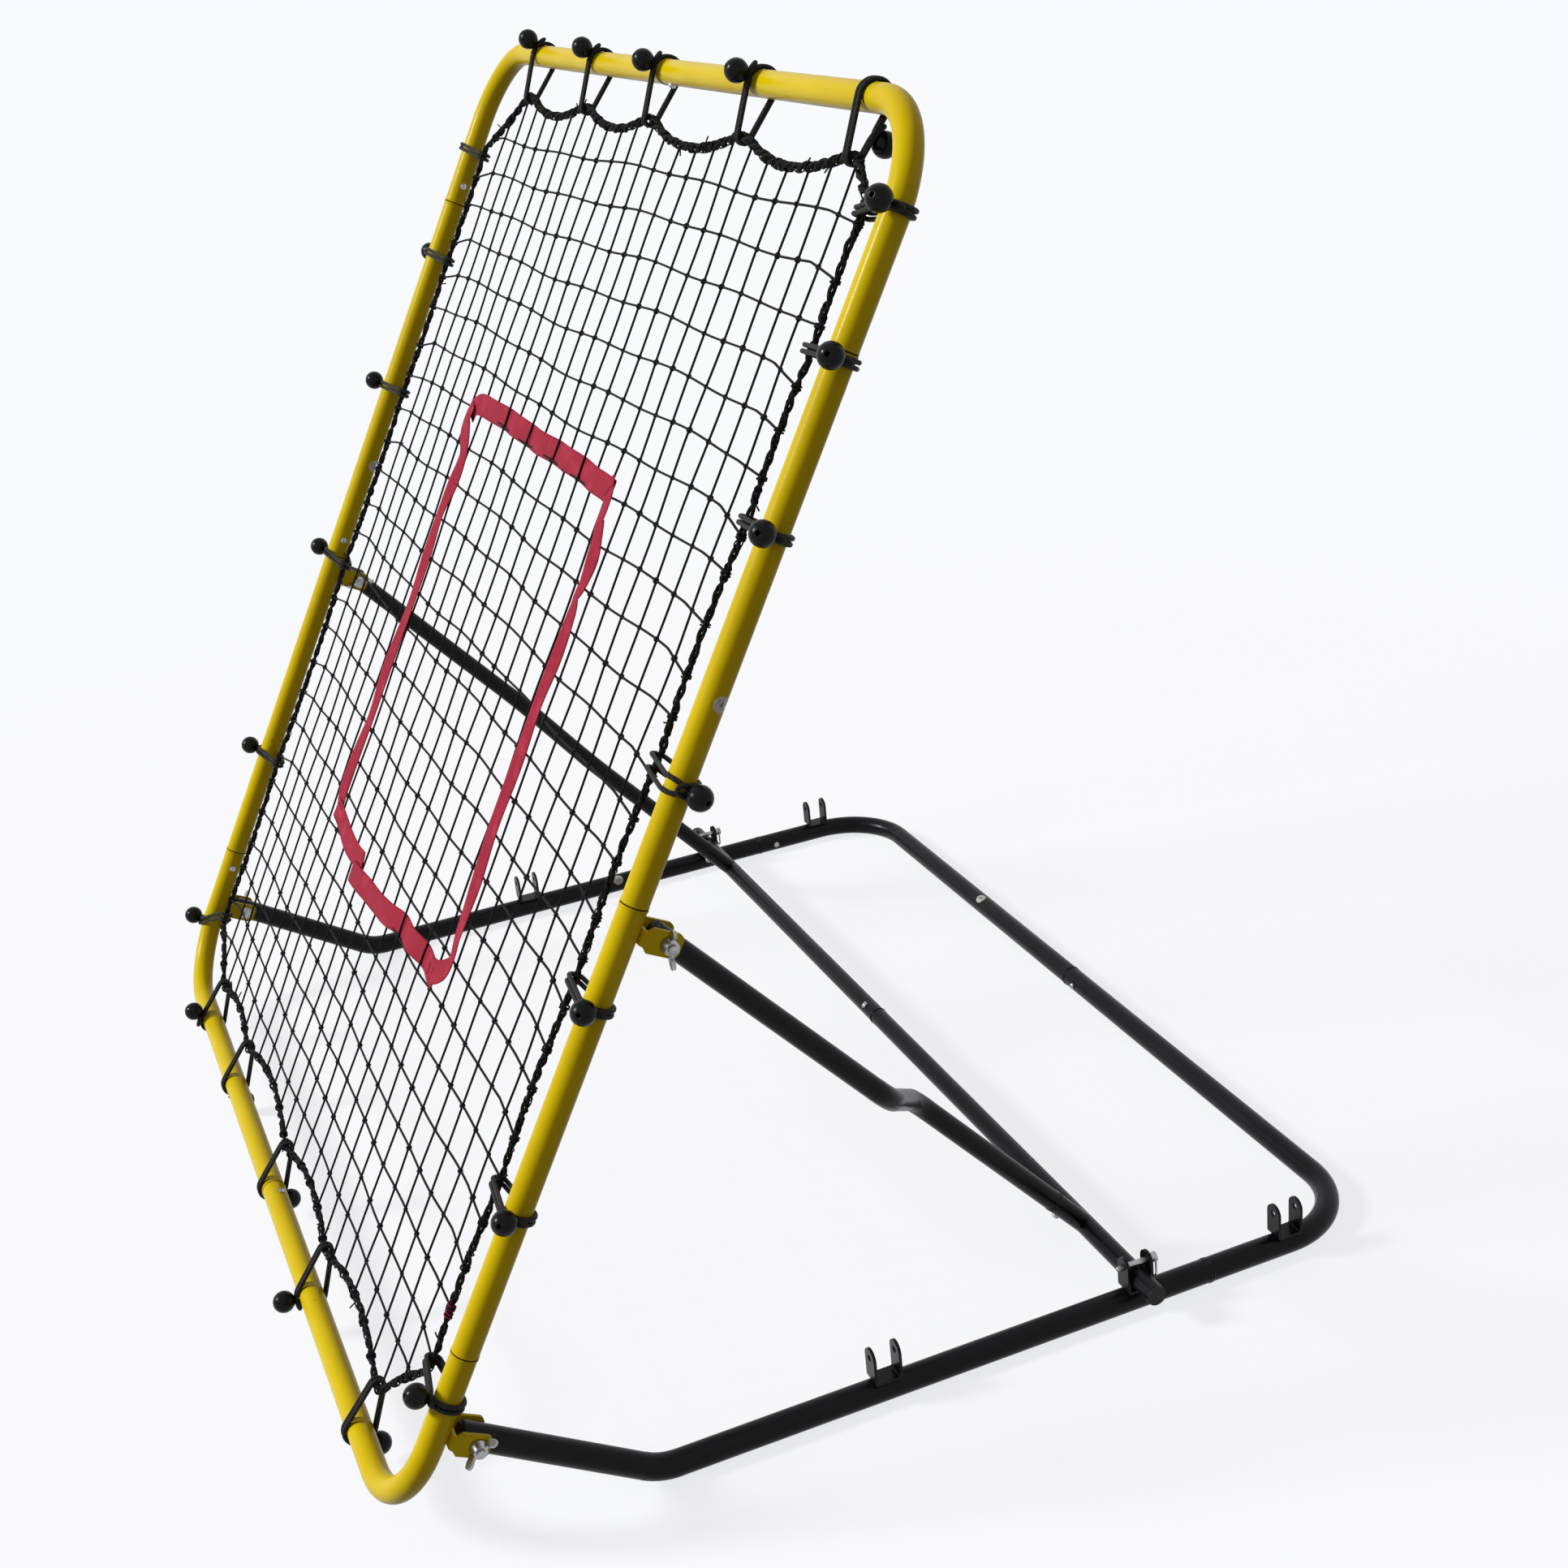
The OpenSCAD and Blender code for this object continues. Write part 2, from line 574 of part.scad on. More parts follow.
// Flat lattice of crossing cords, cut to the inside of the border rope and clear of the loops
module net() color([0.12, 0.12, 0.12]) on_frame() translate([0, 0, -net_t / 2]) linear_extrude(net_t)
    difference() {
        intersection() {
            polygon(net_edge);
            union() {
                for (i = [1 : net_columns - 1])
                    translate([-net_w / 2 + i * net_w / net_columns - net_cord / 2, 0])
                        square([net_cord, frame_h]);
                for (i = [1 : net_rows - 1])
                    translate([-half_w, inset_end + i * net_h / net_rows - net_cord / 2])
                        square([frame_w, net_cord]);
            }
        }
        for (a = anchors) translate(a[0])
            square(a[1].x == 0 ? [2 * loop_room, loop_width] : [loop_width, 2 * loop_room], center = true);
    }

// Red webbing ring sewn over the net, with its loose overlap at the lower left
module strike_zone() color([0.72, 0.08, 0.2]) on_frame()
    translate([zone_shift, zone_low + zone_h / 2, net_t / 2 + fit]) {
        linear_extrude(band_t) difference() {
            square([zone_w + band_w, zone_h + band_w], center = true);
            square([zone_w - band_w, zone_h - band_w], center = true);
        }
        translate([-zone_w / 2, -zone_h / 2 - band_w / 2, band_t]) rotate([0, 0, -4])
            cube([band_tail, band_w, band_t]);
    }

// ---- Ball bungees ----

// One strand: a belt round the tube at the origin and the rope at -span along X
module strand(span) {
    lean = asin((belt_r - loop_r) / span);
    straight = sqrt(span * span - pow(belt_r - loop_r, 2));
    start = 90 + lean;
    rotate([0, 0, -start]) rotate_extrude(angle = 2 * start)
        translate([belt_r, 0]) circle(d = cord_d + swell);
    translate([-span, 0, 0]) rotate([0, 0, start]) rotate_extrude(angle = 360 - 2 * start)
        translate([loop_r, 0]) circle(d = cord_d + swell);
    for (s = [-1, 1]) along_line(belt_r * [cos(start), s * sin(start)], s * (start + 90))
        translate([0, 0, -seat]) cylinder(r = cord_r, h = straight + 2 * seat);
}

module cord_loops(list, span) color([0.06, 0.06, 0.06]) for (b = list) bungee_place(b[0])
    for (s = [-1, 1]) translate([0, 0, s * strand_gap / 2]) strand(span);

module ball(b) bungee_place(b[0]) {
    way = b[1] < 0 ? -1 : 1;
    at = ball_out * [cos(b[1]), sin(b[1])] + b[2] * way * [-sin(b[1]), cos(b[1])];
    translate([at.x, at.y, 0]) difference() {
        sphere(r = ball_r);
        rotate([0, 0, b[1]]) rotate([0, 90, 0]) cylinder(r = cord_r + 0.5, h = 2 * ball_d, center = true);
    }
}

// $edge holds the bar or tube that a bungee goes round: [point, turn, runs across]
module bungee_place(place) on_frame() translate($edge[2] ? [place, $edge[0], 0] : [$edge[0], place, 0])
    rotate([90, 0, $edge[1]]) children();
TOP_EDGE = [frame_h, 90, true];
BOTTOM_EDGE = [0, -90, true];
RIGHT_EDGE = [half_w, 0, false];
LEFT_EDGE = [-half_w, 180, false];

// ---- Named sub-parts ----

module base_rear_left() on_side(-1) base_rear(true);
module base_rear_right() base_rear(false);
module base_front_left() on_side(-1) base_front();
module base_front_right() base_front();
module clevis_rear_left() on_side(-1) clevis(clevis_rear);
module clevis_rear_right() clevis(clevis_rear);
module clevis_middle_left() on_side(-1) clevis(clevis_used);
module clevis_middle_right() clevis(clevis_used);
module clevis_front_left() on_side(-1) clevis(clevis_front);
module clevis_front_right() clevis(clevis_front);
module stub_plugs() for (side = [-1, 1]) on_side(side) grounded() translate([half_w, 0, 0]) side_view()
    plug_at(pivot_a + stub_end * [-cos(stub_angle), sin(stub_angle)], 180 - stub_angle, tube_d);
module frame_top_left() on_side(-1) frame_corner(1, seam_high, true);
module frame_top_right() frame_corner(1, seam_high, false);
module frame_upper_left() on_side(-1) frame_side(seam_mid, seam_high, false);
module frame_upper_right() frame_side(seam_mid, seam_high, false);
module frame_lower_left() on_side(-1) frame_side(seam_low, seam_mid, true);
module frame_lower_right() frame_side(seam_low, seam_mid, true);
module frame_bottom_left() on_side(-1) frame_corner(-1, seam_low, true);
module frame_bottom_right() frame_corner(-1, seam_low, false);
module bracket_lower_left() on_side(-1) bracket(pivot_low, tube_d);
module bracket_lower_right() bracket(pivot_low, tube_d);
module bracket_upper_left() on_side(-1) bracket(pivot_high, stay_d);
module bracket_upper_right() bracket(pivot_high, stay_d);
module bolts_lower() for (side = [-1, 1]) on_side(side) on_pivot(pivot_low, false) pivot_bolt(tube_d);
module bolts_upper() for (side = [-1, 1]) on_side(side) on_pivot(pivot_high, side < 0) pivot_bolt(stay_d);
module wing_nut_lower_left() on_side(-1) on_pivot(pivot_low, false) rotate([0, 0, 70]) wing_nut(tube_d);
module wing_nut_lower_right() on_pivot(pivot_low, false) rotate([0, 0, 60]) wing_nut(tube_d);
module wing_nut_upper_left() on_side(-1) on_pivot(pivot_high, true) rotate([0, 0, 30]) wing_nut(stay_d);
module wing_nut_upper_right() on_pivot(pivot_high, false) rotate([0, 0, 110]) wing_nut(stay_d);
module stay_arm_left() on_side(-1) stay_arm();
module stay_arm_right() stay_arm();
module cross_bar_left() on_side(-1) cross_half(false);
module cross_bar_right() cross_half(true);
module stay_plugs() for (side = [-1, 1]) on_side(side) on_stay() {
    plug_at([half_w, -stub_end], -90, stay_d);
    plug_at([half_w + bar_overhang, stay_len], 0, stay_d);
}
module lock_pin_left() on_side(-1) lock_pin();
module lock_pin_right() lock_pin();
module pin_bail_left() on_side(-1) pin_bail();
module pin_bail_right() pin_bail();
module bungee_balls() color([0.05, 0.05, 0.05]) {
    let ($edge = TOP_EDGE) for (b = TOP) ball(b);
    let ($edge = RIGHT_EDGE) for (b = RIGHT) ball(b);
    let ($edge = BOTTOM_EDGE) for (b = BOTTOM) ball(b);
    let ($edge = LEFT_EDGE) for (b = LEFT) ball(b);
}
module bungee_cords_top() let ($edge = TOP_EDGE) cord_loops(TOP, inset_end);
module bungee_cords_bottom() let ($edge = BOTTOM_EDGE) cord_loops(BOTTOM, inset_end);
module bungee_cords_left() let ($edge = LEFT_EDGE) cord_loops(LEFT, inset_side);
module bungee_cords_right() let ($edge = RIGHT_EDGE) cord_loops(RIGHT, inset_side);
module button_base_right() grounded() button_at([half_w, button_off - base_seam], 180, tube_d);
module button_base_left() on_side(-1) button_base_right();
module button_base_rear() grounded() button_at([button_off, 0], -90, tube_d, true);
module button_frame_top() on_frame() button_at([button_off, frame_h], -90, tube_d, true);
module button_frame_bottom() on_frame() button_at([button_off, 0], 90, tube_d);
module button_high_right() on_frame() button_at([half_w, seam_high + button_off], 180, tube_d);
module button_high_left() on_side(-1) button_high_right();
module button_mid_right() on_frame() button_at([half_w, seam_mid + button_off], 180, tube_d);
module button_mid_left() on_side(-1) button_mid_right();
module button_low_right() on_frame() button_at([half_w, seam_low - button_off], 180, tube_d, true);
module button_low_left() on_side(-1) button_low_right();
module button_stay_right() on_stay() translate([stay_x, stay_button, 0])
    rotate([180, 0, 0]) rotate([0, 0, 90]) snap_button(stay_d);
module button_stay_left() on_side(-1) button_stay_right();
module button_cross_bar() on_stay() translate([0, stay_len, 0]) rotate([135 - stay_angle, 0, 0])
    translate([-button_off, 0, 0]) rotate([-90, 0, 0]) snap_button(stay_d);

base_rear_left();
base_rear_right();
base_front_left();
base_front_right();
clevis_rear_left();
clevis_rear_right();
clevis_middle_left();
clevis_middle_right();
clevis_front_left();
clevis_front_right();
stub_plugs();
frame_top_left();
frame_top_right();
frame_upper_left();
frame_upper_right();
frame_lower_left();
frame_lower_right();
frame_bottom_left();
frame_bottom_right();
bracket_lower_left();
bracket_lower_right();
bracket_upper_left();
bracket_upper_right();
bolts_lower();
bolts_upper();
wing_nut_lower_left();
wing_nut_lower_right();
wing_nut_upper_left();
wing_nut_upper_right();
stay_arm_left();
stay_arm_right();
cross_bar_left();
cross_bar_right();
stay_plugs();
lock_pin_left();
lock_pin_right();
pin_bail_left();
pin_bail_right();
net();
border_rope();
strike_zone();
bungee_balls();
bungee_cords_top();
bungee_cords_bottom();
bungee_cords_left();
bungee_cords_right();
button_base_left();
button_base_right();
button_base_rear();
button_frame_top();
button_frame_bottom();
button_high_left();
button_high_right();
button_mid_left();
button_mid_right();
button_low_left();
button_low_right();
button_stay_left();
button_stay_right();
button_cross_bar();
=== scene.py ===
import math

import bpy
import numpy as np
from mathutils import Euler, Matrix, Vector


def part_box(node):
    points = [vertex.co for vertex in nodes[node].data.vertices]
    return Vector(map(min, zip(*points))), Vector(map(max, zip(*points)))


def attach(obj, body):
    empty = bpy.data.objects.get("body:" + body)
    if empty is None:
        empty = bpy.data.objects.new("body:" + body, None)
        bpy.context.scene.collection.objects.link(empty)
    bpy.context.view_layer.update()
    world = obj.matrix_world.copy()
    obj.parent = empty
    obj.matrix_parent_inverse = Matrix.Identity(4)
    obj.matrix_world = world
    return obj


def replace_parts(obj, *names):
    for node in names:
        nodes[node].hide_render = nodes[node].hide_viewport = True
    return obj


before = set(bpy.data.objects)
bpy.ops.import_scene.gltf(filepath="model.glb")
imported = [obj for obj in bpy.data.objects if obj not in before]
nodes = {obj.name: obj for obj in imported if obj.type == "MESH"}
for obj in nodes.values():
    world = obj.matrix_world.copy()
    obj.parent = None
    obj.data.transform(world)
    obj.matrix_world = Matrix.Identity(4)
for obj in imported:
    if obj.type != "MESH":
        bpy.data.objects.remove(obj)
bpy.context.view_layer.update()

millimetre = 0.001
capShare = 0.02  # what is left of a ring where a cord or band is closed at its end

cameraSettings = {"at": (2.1033, -0.62805, 1.33854), "turn": (67.074, 5.1344, 66.6174), "lens": 48.463,
                  "film": 36, "shift": (-0.01487, -0.01095)}


def placeCamera(settings):
    lens = bpy.data.cameras.new("fieldCamera")
    lens.sensor_width = settings["film"]
    lens.lens = settings["lens"]
    lens.shift_x, lens.shift_y = settings["shift"]
    camera = bpy.data.objects.new("fieldCamera", lens)
    camera.location = settings["at"]
    camera.rotation_euler = Euler([math.radians(a) for a in settings["turn"]])
    bpy.context.scene.collection.objects.link(camera)
    bpy.context.scene.camera = camera


placeCamera(cameraSettings)
print("camera placed")

# Frame coordinates in mm: u across, v up along the net frame, w to its front
frameSettings = {"foot": (0, -495.325, 45.6224), "along": (0, 0.475972, 0.87946), "front": (0, -0.87946, 0.475972),
                 "halfWidth": 600, "height": 1277, "tube": 12.5}
staySettings = {"pivot": (0, -186.649, 540.333), "down": (0, 0.655892, -0.754855), "tube": 10.5}
frameAxes = np.array([(1, 0, 0), frameSettings["along"], frameSettings["front"]], float)


# From (u, v, w) in mm to metres in the room: u * across + v * along + w * front + foot
def onFrame(points):
    return (np.asarray(points, float) @ frameAxes + frameSettings["foot"]) * millimetre


def unit(vectors):
    return vectors / np.maximum(np.linalg.norm(vectors, axis=-1, keepdims=True), 1e-12)


# Smooth curve through a few points: between b and c, with a before and d after them, it is half of
# 2b + (c - a)f + (2a - 5b + 4c - d)f^2 + (3b - a - 3c + d)f^3, where f goes from 0 to 1 in steps
def curveThrough(points, steps):
    p = np.array(points, float)
    p = np.vstack([2 * p[0] - p[1], p, 2 * p[-1] - p[-2]])
    t = np.linspace(0, len(p) - 3, steps * (len(p) - 3) + 1)
    i = np.minimum(t.astype(int), len(p) - 4)
    f = (t - i)[:, None]
    a, b, c, d = p[i], p[i + 1], p[i + 2], p[i + 3]
    return 0.5 * (2 * b + (c - a) * f + (2 * a - 5 * b + 4 * c - d) * f ** 2 + (3 * b - a - 3 * c + d) * f ** 3)


# Faces of many grids at once: points is copies x rings x sides x 3, in metres. A face joins a ring's side and
# next side to the next ring's; its uv is the length run along the rings' middles and the share of a turn
def grid(points, ringsClosed=False):
    copies, rings, sides = points.shape[:3]
    index = np.arange(copies * rings * sides).reshape(copies, rings, sides)
    near = index if ringsClosed else index[:, :-1]
    far = np.roll(index, -1, 1) if ringsClosed else index[:, 1:]
    middle = points.mean(2)
    step = np.linalg.norm(np.diff(middle, axis=1, append=middle[:, :1]), axis=-1)
    length = np.concatenate([np.zeros((copies, 1)), np.cumsum(step, 1)], 1)
    count = near.shape[1]
    lengthNear = np.broadcast_to(length[:, :count, None], near.shape)
    lengthFar = np.broadcast_to(length[:, 1:count + 1, None], near.shape)
    turnNear = np.broadcast_to(np.arange(sides) / sides, near.shape)
    turnFar = turnNear + 1 / sides
    corners = [near, np.roll(near, -1, 2), np.roll(far, -1, 2), far]
    uvs = [(lengthNear, turnNear), (lengthNear, turnFar), (lengthFar, turnFar), (lengthFar, turnNear)]
    quads = np.stack(corners, -1).reshape(-1, 4)
    uv = np.stack([np.stack(pair, -1) for pair in uvs], -2).reshape(-1, 4, 2)
    return points.reshape(-1, 3), quads, uv


# Tube along each path: ring points are path + radius * (cos * side + sin * other)
def tube(path, radius, guide, sides, closed=False):
    path = np.asarray(path, float)
    if closed:
        tangent = unit(np.roll(path, -1, 1) - np.roll(path, 1, 1))
    else:
        tangent = unit(np.gradient(path, axis=1))
    guide = np.broadcast_to(np.asarray(guide, float), path.shape)
    side = unit(guide - (guide * tangent).sum(-1, keepdims=True) * tangent)
    other = np.cross(tangent, side)
    turn = np.arange(sides) * 2 * np.pi / sides
    radius = np.broadcast_to(np.asarray(radius, float), path.shape[:2])[..., None, None]
    ring = radius * (np.cos(turn)[:, None] * side[:, :, None] + np.sin(turn)[:, None] * other[:, :, None])
    if not closed:
        ring = np.concatenate([ring[:, :1] * capShare, ring, ring[:, -1:] * capShare], 1)
        path = np.concatenate([path[:, :1], path, path[:, -1:]], 1)
    return path[:, :, None] + ring


# Profile of (radius, height) pairs turned about an axis at each centre
def turned(profile, centre, axis, sides):
    centre = np.atleast_2d(np.asarray(centre, float))
    axis = np.broadcast_to(unit(np.asarray(axis, float)), centre.shape)
    helper = np.where(np.abs(axis[:, :1]) < 0.8, [1.0, 0, 0], [0, 1.0, 0])
    first = unit(np.cross(axis, helper))
    second = np.cross(axis, first)
    turn = np.arange(sides) * 2 * np.pi / sides
    spoke = np.cos(turn)[:, None] * first[:, None] + np.sin(turn)[:, None] * second[:, None]
    r, h = np.asarray(profile, float).T
    return centre[:, None, None] + r[:, None, None] * spoke[:, None] + (h[:, None] * axis[:, None])[:, :, None]


# One mesh object from grids; a grid whose signed volume is negative has its faces turned round
def makePiece(name, parts, body, finish):
    corner, faces, uvs, start = [], [], [], 0
    for points, quads, uv in parts:
        a, b, c = [points[quads[:, k]] for k in range(3)]
        volume = np.einsum("ij,ij->i", a, np.cross(b, c)).sum()
        if volume < 0:
            quads, uv = quads[:, ::-1], uv[:, ::-1]
        corner.append(points)
        faces.append(quads + start)
        uvs.append(uv)
        start += len(points)
    corner, faces, uvs = np.concatenate(corner), np.concatenate(faces), np.concatenate(uvs)
    mesh = bpy.data.meshes.new(name)
    mesh.vertices.add(len(corner))
    mesh.vertices.foreach_set("co", corner.ravel().astype(np.float32))
    mesh.loops.add(faces.size)
    mesh.loops.foreach_set("vertex_index", faces.ravel().astype(np.int32))
    mesh.polygons.add(len(faces))
    mesh.polygons.foreach_set("loop_start", np.arange(0, faces.size, 4, dtype=np.int32))
    mesh.polygons.foreach_set("use_smooth", np.ones(len(faces), bool))
    layer = mesh.uv_layers.new(name="surface")
    layer.uv.foreach_set("vector", uvs.ravel().astype(np.float32))
    mesh.update(calc_edges=True)
    mesh.materials.append(finish)
    piece = bpy.data.objects.new(name, mesh)
    bpy.context.scene.collection.objects.link(piece)
    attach(piece, body)
    print(name, len(faces))
    return piece


# A shader socket that Python sums work on: each operator adds its Math node
class Signal:
    def __init__(self, finish, socket):
        self.finish = finish
        self.socket = socket

    def sum(self, kind, *values):
        return self.finish.node("ShaderNodeMath", {"operation": kind}, values)

    def __add__(self, other):
        return self.sum("ADD", self, other)

    def __radd__(self, other):
        return self.sum("ADD", other, self)

    def __sub__(self, other):
        return self.sum("SUBTRACT", self, other)

    def __rsub__(self, other):
        return self.sum("SUBTRACT", other, self)

    def __mul__(self, other):
        return self.sum("MULTIPLY", self, other)

    def __rmul__(self, other):
        return self.sum("MULTIPLY", other, self)

    def wave(self):
        return 0.5 + 0.5 * self.sum("SINE", self)

    def rise(self, low, high):
        return self.finish.node("ShaderNodeMapRange", {"interpolation_type": "SMOOTHSTEP"},
                                {0: self, 1: low, 2: high})


# A material: constants go on the shader's own sockets, and show() feeds what varies
class Finish:
    def __init__(self, name, **constants):
        self.material = bpy.data.materials.new(name)
        self.material.use_nodes = True
        self.tree = self.material.node_tree
        self.tree.nodes.clear()
        self.shader = self.tree.nodes.new("ShaderNodeBsdfPrincipled")
        output = self.tree.nodes.new("ShaderNodeOutputMaterial")
        self.tree.links.new(self.shader.outputs[0], output.inputs[0])
        for key, value in constants.items():
            self.shader.inputs[key.replace("_", " ")].default_value = value

    def node(self, kind, settings=None, inputs=(), output=0):
        made = self.tree.nodes.new(kind)
        for key, value in (settings or {}).items():
            setattr(made, key, value)
        for key, value in inputs.items() if isinstance(inputs, dict) else enumerate(inputs):
            self.feed(made.inputs[key], value)
        return Signal(self, made.outputs[output])

    def feed(self, socket, value):
        if isinstance(value, Signal):
            self.tree.links.new(value.socket, socket)
        else:
            socket.default_value = value

    def show(self, **signals):
        for key, value in signals.items():
            self.feed(self.shader.inputs[key.replace("_", " ")], value)
        return self.material

    def place(self):
        return self.node("ShaderNodeTexCoord", output=3)

    def surface(self):
        uv = self.node("ShaderNodeUVMap", {"uv_map": "surface"})
        return [self.node("ShaderNodeSeparateXYZ", inputs=[uv], output=k) for k in (0, 1)]

    def noise(self, scale, detail=3.0):
        return self.node("ShaderNodeTexNoise", inputs={"Vector": self.place(), "Scale": scale, "Detail": detail})

    def mix(self, factor, first, second):
        first, second = [(*c, 1) if isinstance(c, tuple) else c for c in (first, second)]
        return self.node("ShaderNodeMix", {"data_type": "RGBA"}, {0: factor, 6: first, 7: second}, output=2)

    def bump(self, height, distance, strength):
        return self.node("ShaderNodeBump", inputs={"Strength": strength, "Distance": distance, "Height": height})


# Powder coat: fine orange peel, faint cloudiness, scattered dark scuffs
def powderCoat(name, main, cloud, scuff, roughness, peel, gloss):
    f = Finish(name, Specular_IOR_Level=gloss, Coat_Weight=gloss, Coat_Roughness=0.08, Coat_IOR=1.35)
    clouds = f.noise(9.0, 4.0).rise(0.35, 0.7)
    scuffs = f.noise(150.0, 5.0).rise(0.7, 0.76) * f.noise(14.0, 2.0).rise(0.5, 0.62)
    colour = f.mix(scuffs, f.mix(clouds, main, cloud), scuff)
    grain = f.noise(420.0, 2.0)
    return f.show(Base_Color=colour, Roughness=roughness + 0.12 * clouds + 0.2 * scuffs,
                  Normal=f.bump(grain, peel, 0.5))


# Zinc plate: bright metal with a fine spangle and dull clouds
def zincPlate(name):
    f = Finish(name, Metallic=1.0)
    spangle = f.noise(260.0, 4.0)
    dull = f.noise(70.0, 3.0).rise(0.4, 0.7)
    return f.show(Base_Color=f.mix(dull, (0.36, 0.36, 0.36), (0.2, 0.2, 0.195)), Roughness=0.24 + 0.2 * dull,
                  Normal=f.bump(spangle, 0.0002, 0.4))


# Moulded plastic: fine grain, paler where it is worn
def mouldedPlastic(name):
    f = Finish(name, Specular_IOR_Level=0.2)
    grain = f.noise(900.0, 3.0)
    worn = f.noise(40.0, 4.0).rise(0.55, 0.75)
    return f.show(Base_Color=f.mix(worn, (0.012, 0.012, 0.013), (0.035, 0.035, 0.036)),
                  Roughness=0.42 + 0.15 * worn, Normal=f.bump(grain, 0.0003, 0.5))


# Ball rubber: smooth, with a faint haze from handling
def ballRubber(name):
    f = Finish(name, Specular_IOR_Level=0.1, Coat_Weight=0.06, Coat_Roughness=0.05, Coat_IOR=1.35)
    haze = f.noise(120.0, 4.0).rise(0.45, 0.75)
    return f.show(Base_Color=f.mix(haze, (0.004, 0.0045, 0.0045), (0.008, 0.009, 0.009)),
                  Roughness=0.2 + 0.12 * haze, Normal=f.bump(f.noise(520.0), 0.00006, 0.3))


# Braid: two sets of slanted strands, count of them round the cord, one crossing each pitch
def braid(name, dark, light, pitch, count, roughness, depth):
    f = Finish(name, Specular_IOR_Level=0.15, Sheen_Weight=0.03)
    length, turn = f.surface()
    left = (length * (2 * math.pi / pitch) + turn * (2 * math.pi * count)).wave()
    right = (length * (2 * math.pi / pitch) - turn * (2 * math.pi * count)).wave()
    weave = left.sum("MAXIMUM", left, right)
    fuzz = f.noise(1500.0, 2.0)
    return f.show(Base_Color=f.mix(weave.rise(0.5, 1.0) * (0.6 + 0.4 * fuzz), dark, light),
                  Roughness=roughness + 0.1 * fuzz, Normal=f.bump(weave + 0.3 * fuzz, depth, 0.8))


# Twisted twine: one set of slanted strands
def twine(name, dark, light, pitch, count, depth):
    f = Finish(name, Specular_IOR_Level=0.1, Sheen_Weight=0.02)
    length, turn = f.surface()
    lay = (length * (2 * math.pi / pitch) + turn * (2 * math.pi * count)).wave()
    fuzz = f.noise(1800.0, 3.0)
    return f.show(Base_Color=f.mix(lay * fuzz.rise(0.3, 0.8), dark, light), Roughness=0.62 + 0.2 * fuzz,
                  Normal=f.bump(lay + 0.4 * fuzz, depth, 0.9))


# Woven webbing: ribs across its length and a herringbone down its width
def wovenWebbing(name, main, deep, pale):
    f = Finish(name, Specular_IOR_Level=0.15, Sheen_Weight=0.04, Sheen_Roughness=0.4)
    length, turn = f.surface()
    ribs = (length * (2 * math.pi / 0.0016)).wave()
    rows = (turn * (2 * math.pi * 22) + length * (2 * math.pi / 0.0032)).wave()
    weave = ribs * 0.6 + rows * 0.4
    crease = f.noise(45.0, 3.0)
    colour = f.mix(crease.rise(0.5, 0.8), f.mix(weave.rise(0.2, 0.9), deep, main), pale)
    return f.show(Base_Color=colour, Roughness=0.55 + 0.2 * weave,
                  Normal=f.bump(weave + 2.0 * crease, 0.0004, 0.6))


# Sticker film: coated paper, rubbed grey in places
def stickerFilm(name, main, grey):
    f = Finish(name, Coat_Weight=0.3)
    rubbed = f.noise(300.0, 4.0).rise(0.5, 0.72)
    return f.show(Base_Color=f.mix(rubbed, main, grey), Roughness=0.35 + 0.25 * rubbed,
                  Normal=f.bump(f.noise(900.0), 0.0001, 0.3))


yellowCoat = powderCoat("yellowCoat", (0.80, 0.60, 0.0003), (0.73, 0.53, 0.0003), (0.16, 0.08, 0.005),
                        0.3, 0.0001, 0.08)
blackCoat = powderCoat("blackCoat", (0.003, 0.003, 0.0042), (0.005, 0.005, 0.0065), (0.03, 0.03, 0.03),
                       0.3, 0.0001, 0.1)
# Painted shade: a dark brown coat for the ring that stands for the shade in the tube seams' grooves
seamShadeCoat = powderCoat("seamShadeCoat", (0.10, 0.055, 0.002), (0.07, 0.035, 0.002), (0.02, 0.012, 0.002),
                       0.6, 0.0001, 0.05)
zinc = zincPlate("zinc")
blackPlastic = mouldedPlastic("blackPlastic")
rubber = ballRubber("ballRubber")
bungeeBraid = braid("bungeeBraid", (0.005, 0.005, 0.0045), (0.017, 0.017, 0.0155), 0.005, 4, 0.5, 0.0004)
borderTwine = twine("borderTwine", (0.004, 0.004, 0.004), (0.02, 0.02, 0.021), 0.006, 2, 0.0005)
netTwine = twine("netTwine", (0.005, 0.005, 0.0055), (0.016, 0.016, 0.018), 0.004, 1, 0.0004)
webbing = wovenWebbing("webbing", (0.44, 0.012, 0.045), (0.30, 0.007, 0.028), (0.52, 0.03, 0.07))
stickerPaper = stickerFilm("stickerPaper", (0.60, 0.59, 0.55), (0.42, 0.41, 0.38))
stickerInk = stickerFilm("stickerInk", (0.02, 0.02, 0.022), (0.06, 0.06, 0.065))

nodeFinish = {"frame_": yellowCoat, "base_": blackCoat, "clevis_": blackCoat, "bracket_": yellowCoat,
              "stay_arm": blackCoat, "cross_bar": blackCoat, "stub_plugs": blackPlastic,
              "stay_plugs": blackPlastic, "bolts_": zinc, "wing_nut": zinc, "lock_pin": zinc, "pin_bail": zinc,
              "button_": zinc}
for nodeName, nodeObject in nodes.items():
    for prefix, material in nodeFinish.items():
        if nodeName.startswith(prefix):
            for slot in nodeObject.material_slots:
                slot.material = material
print("finishes made")

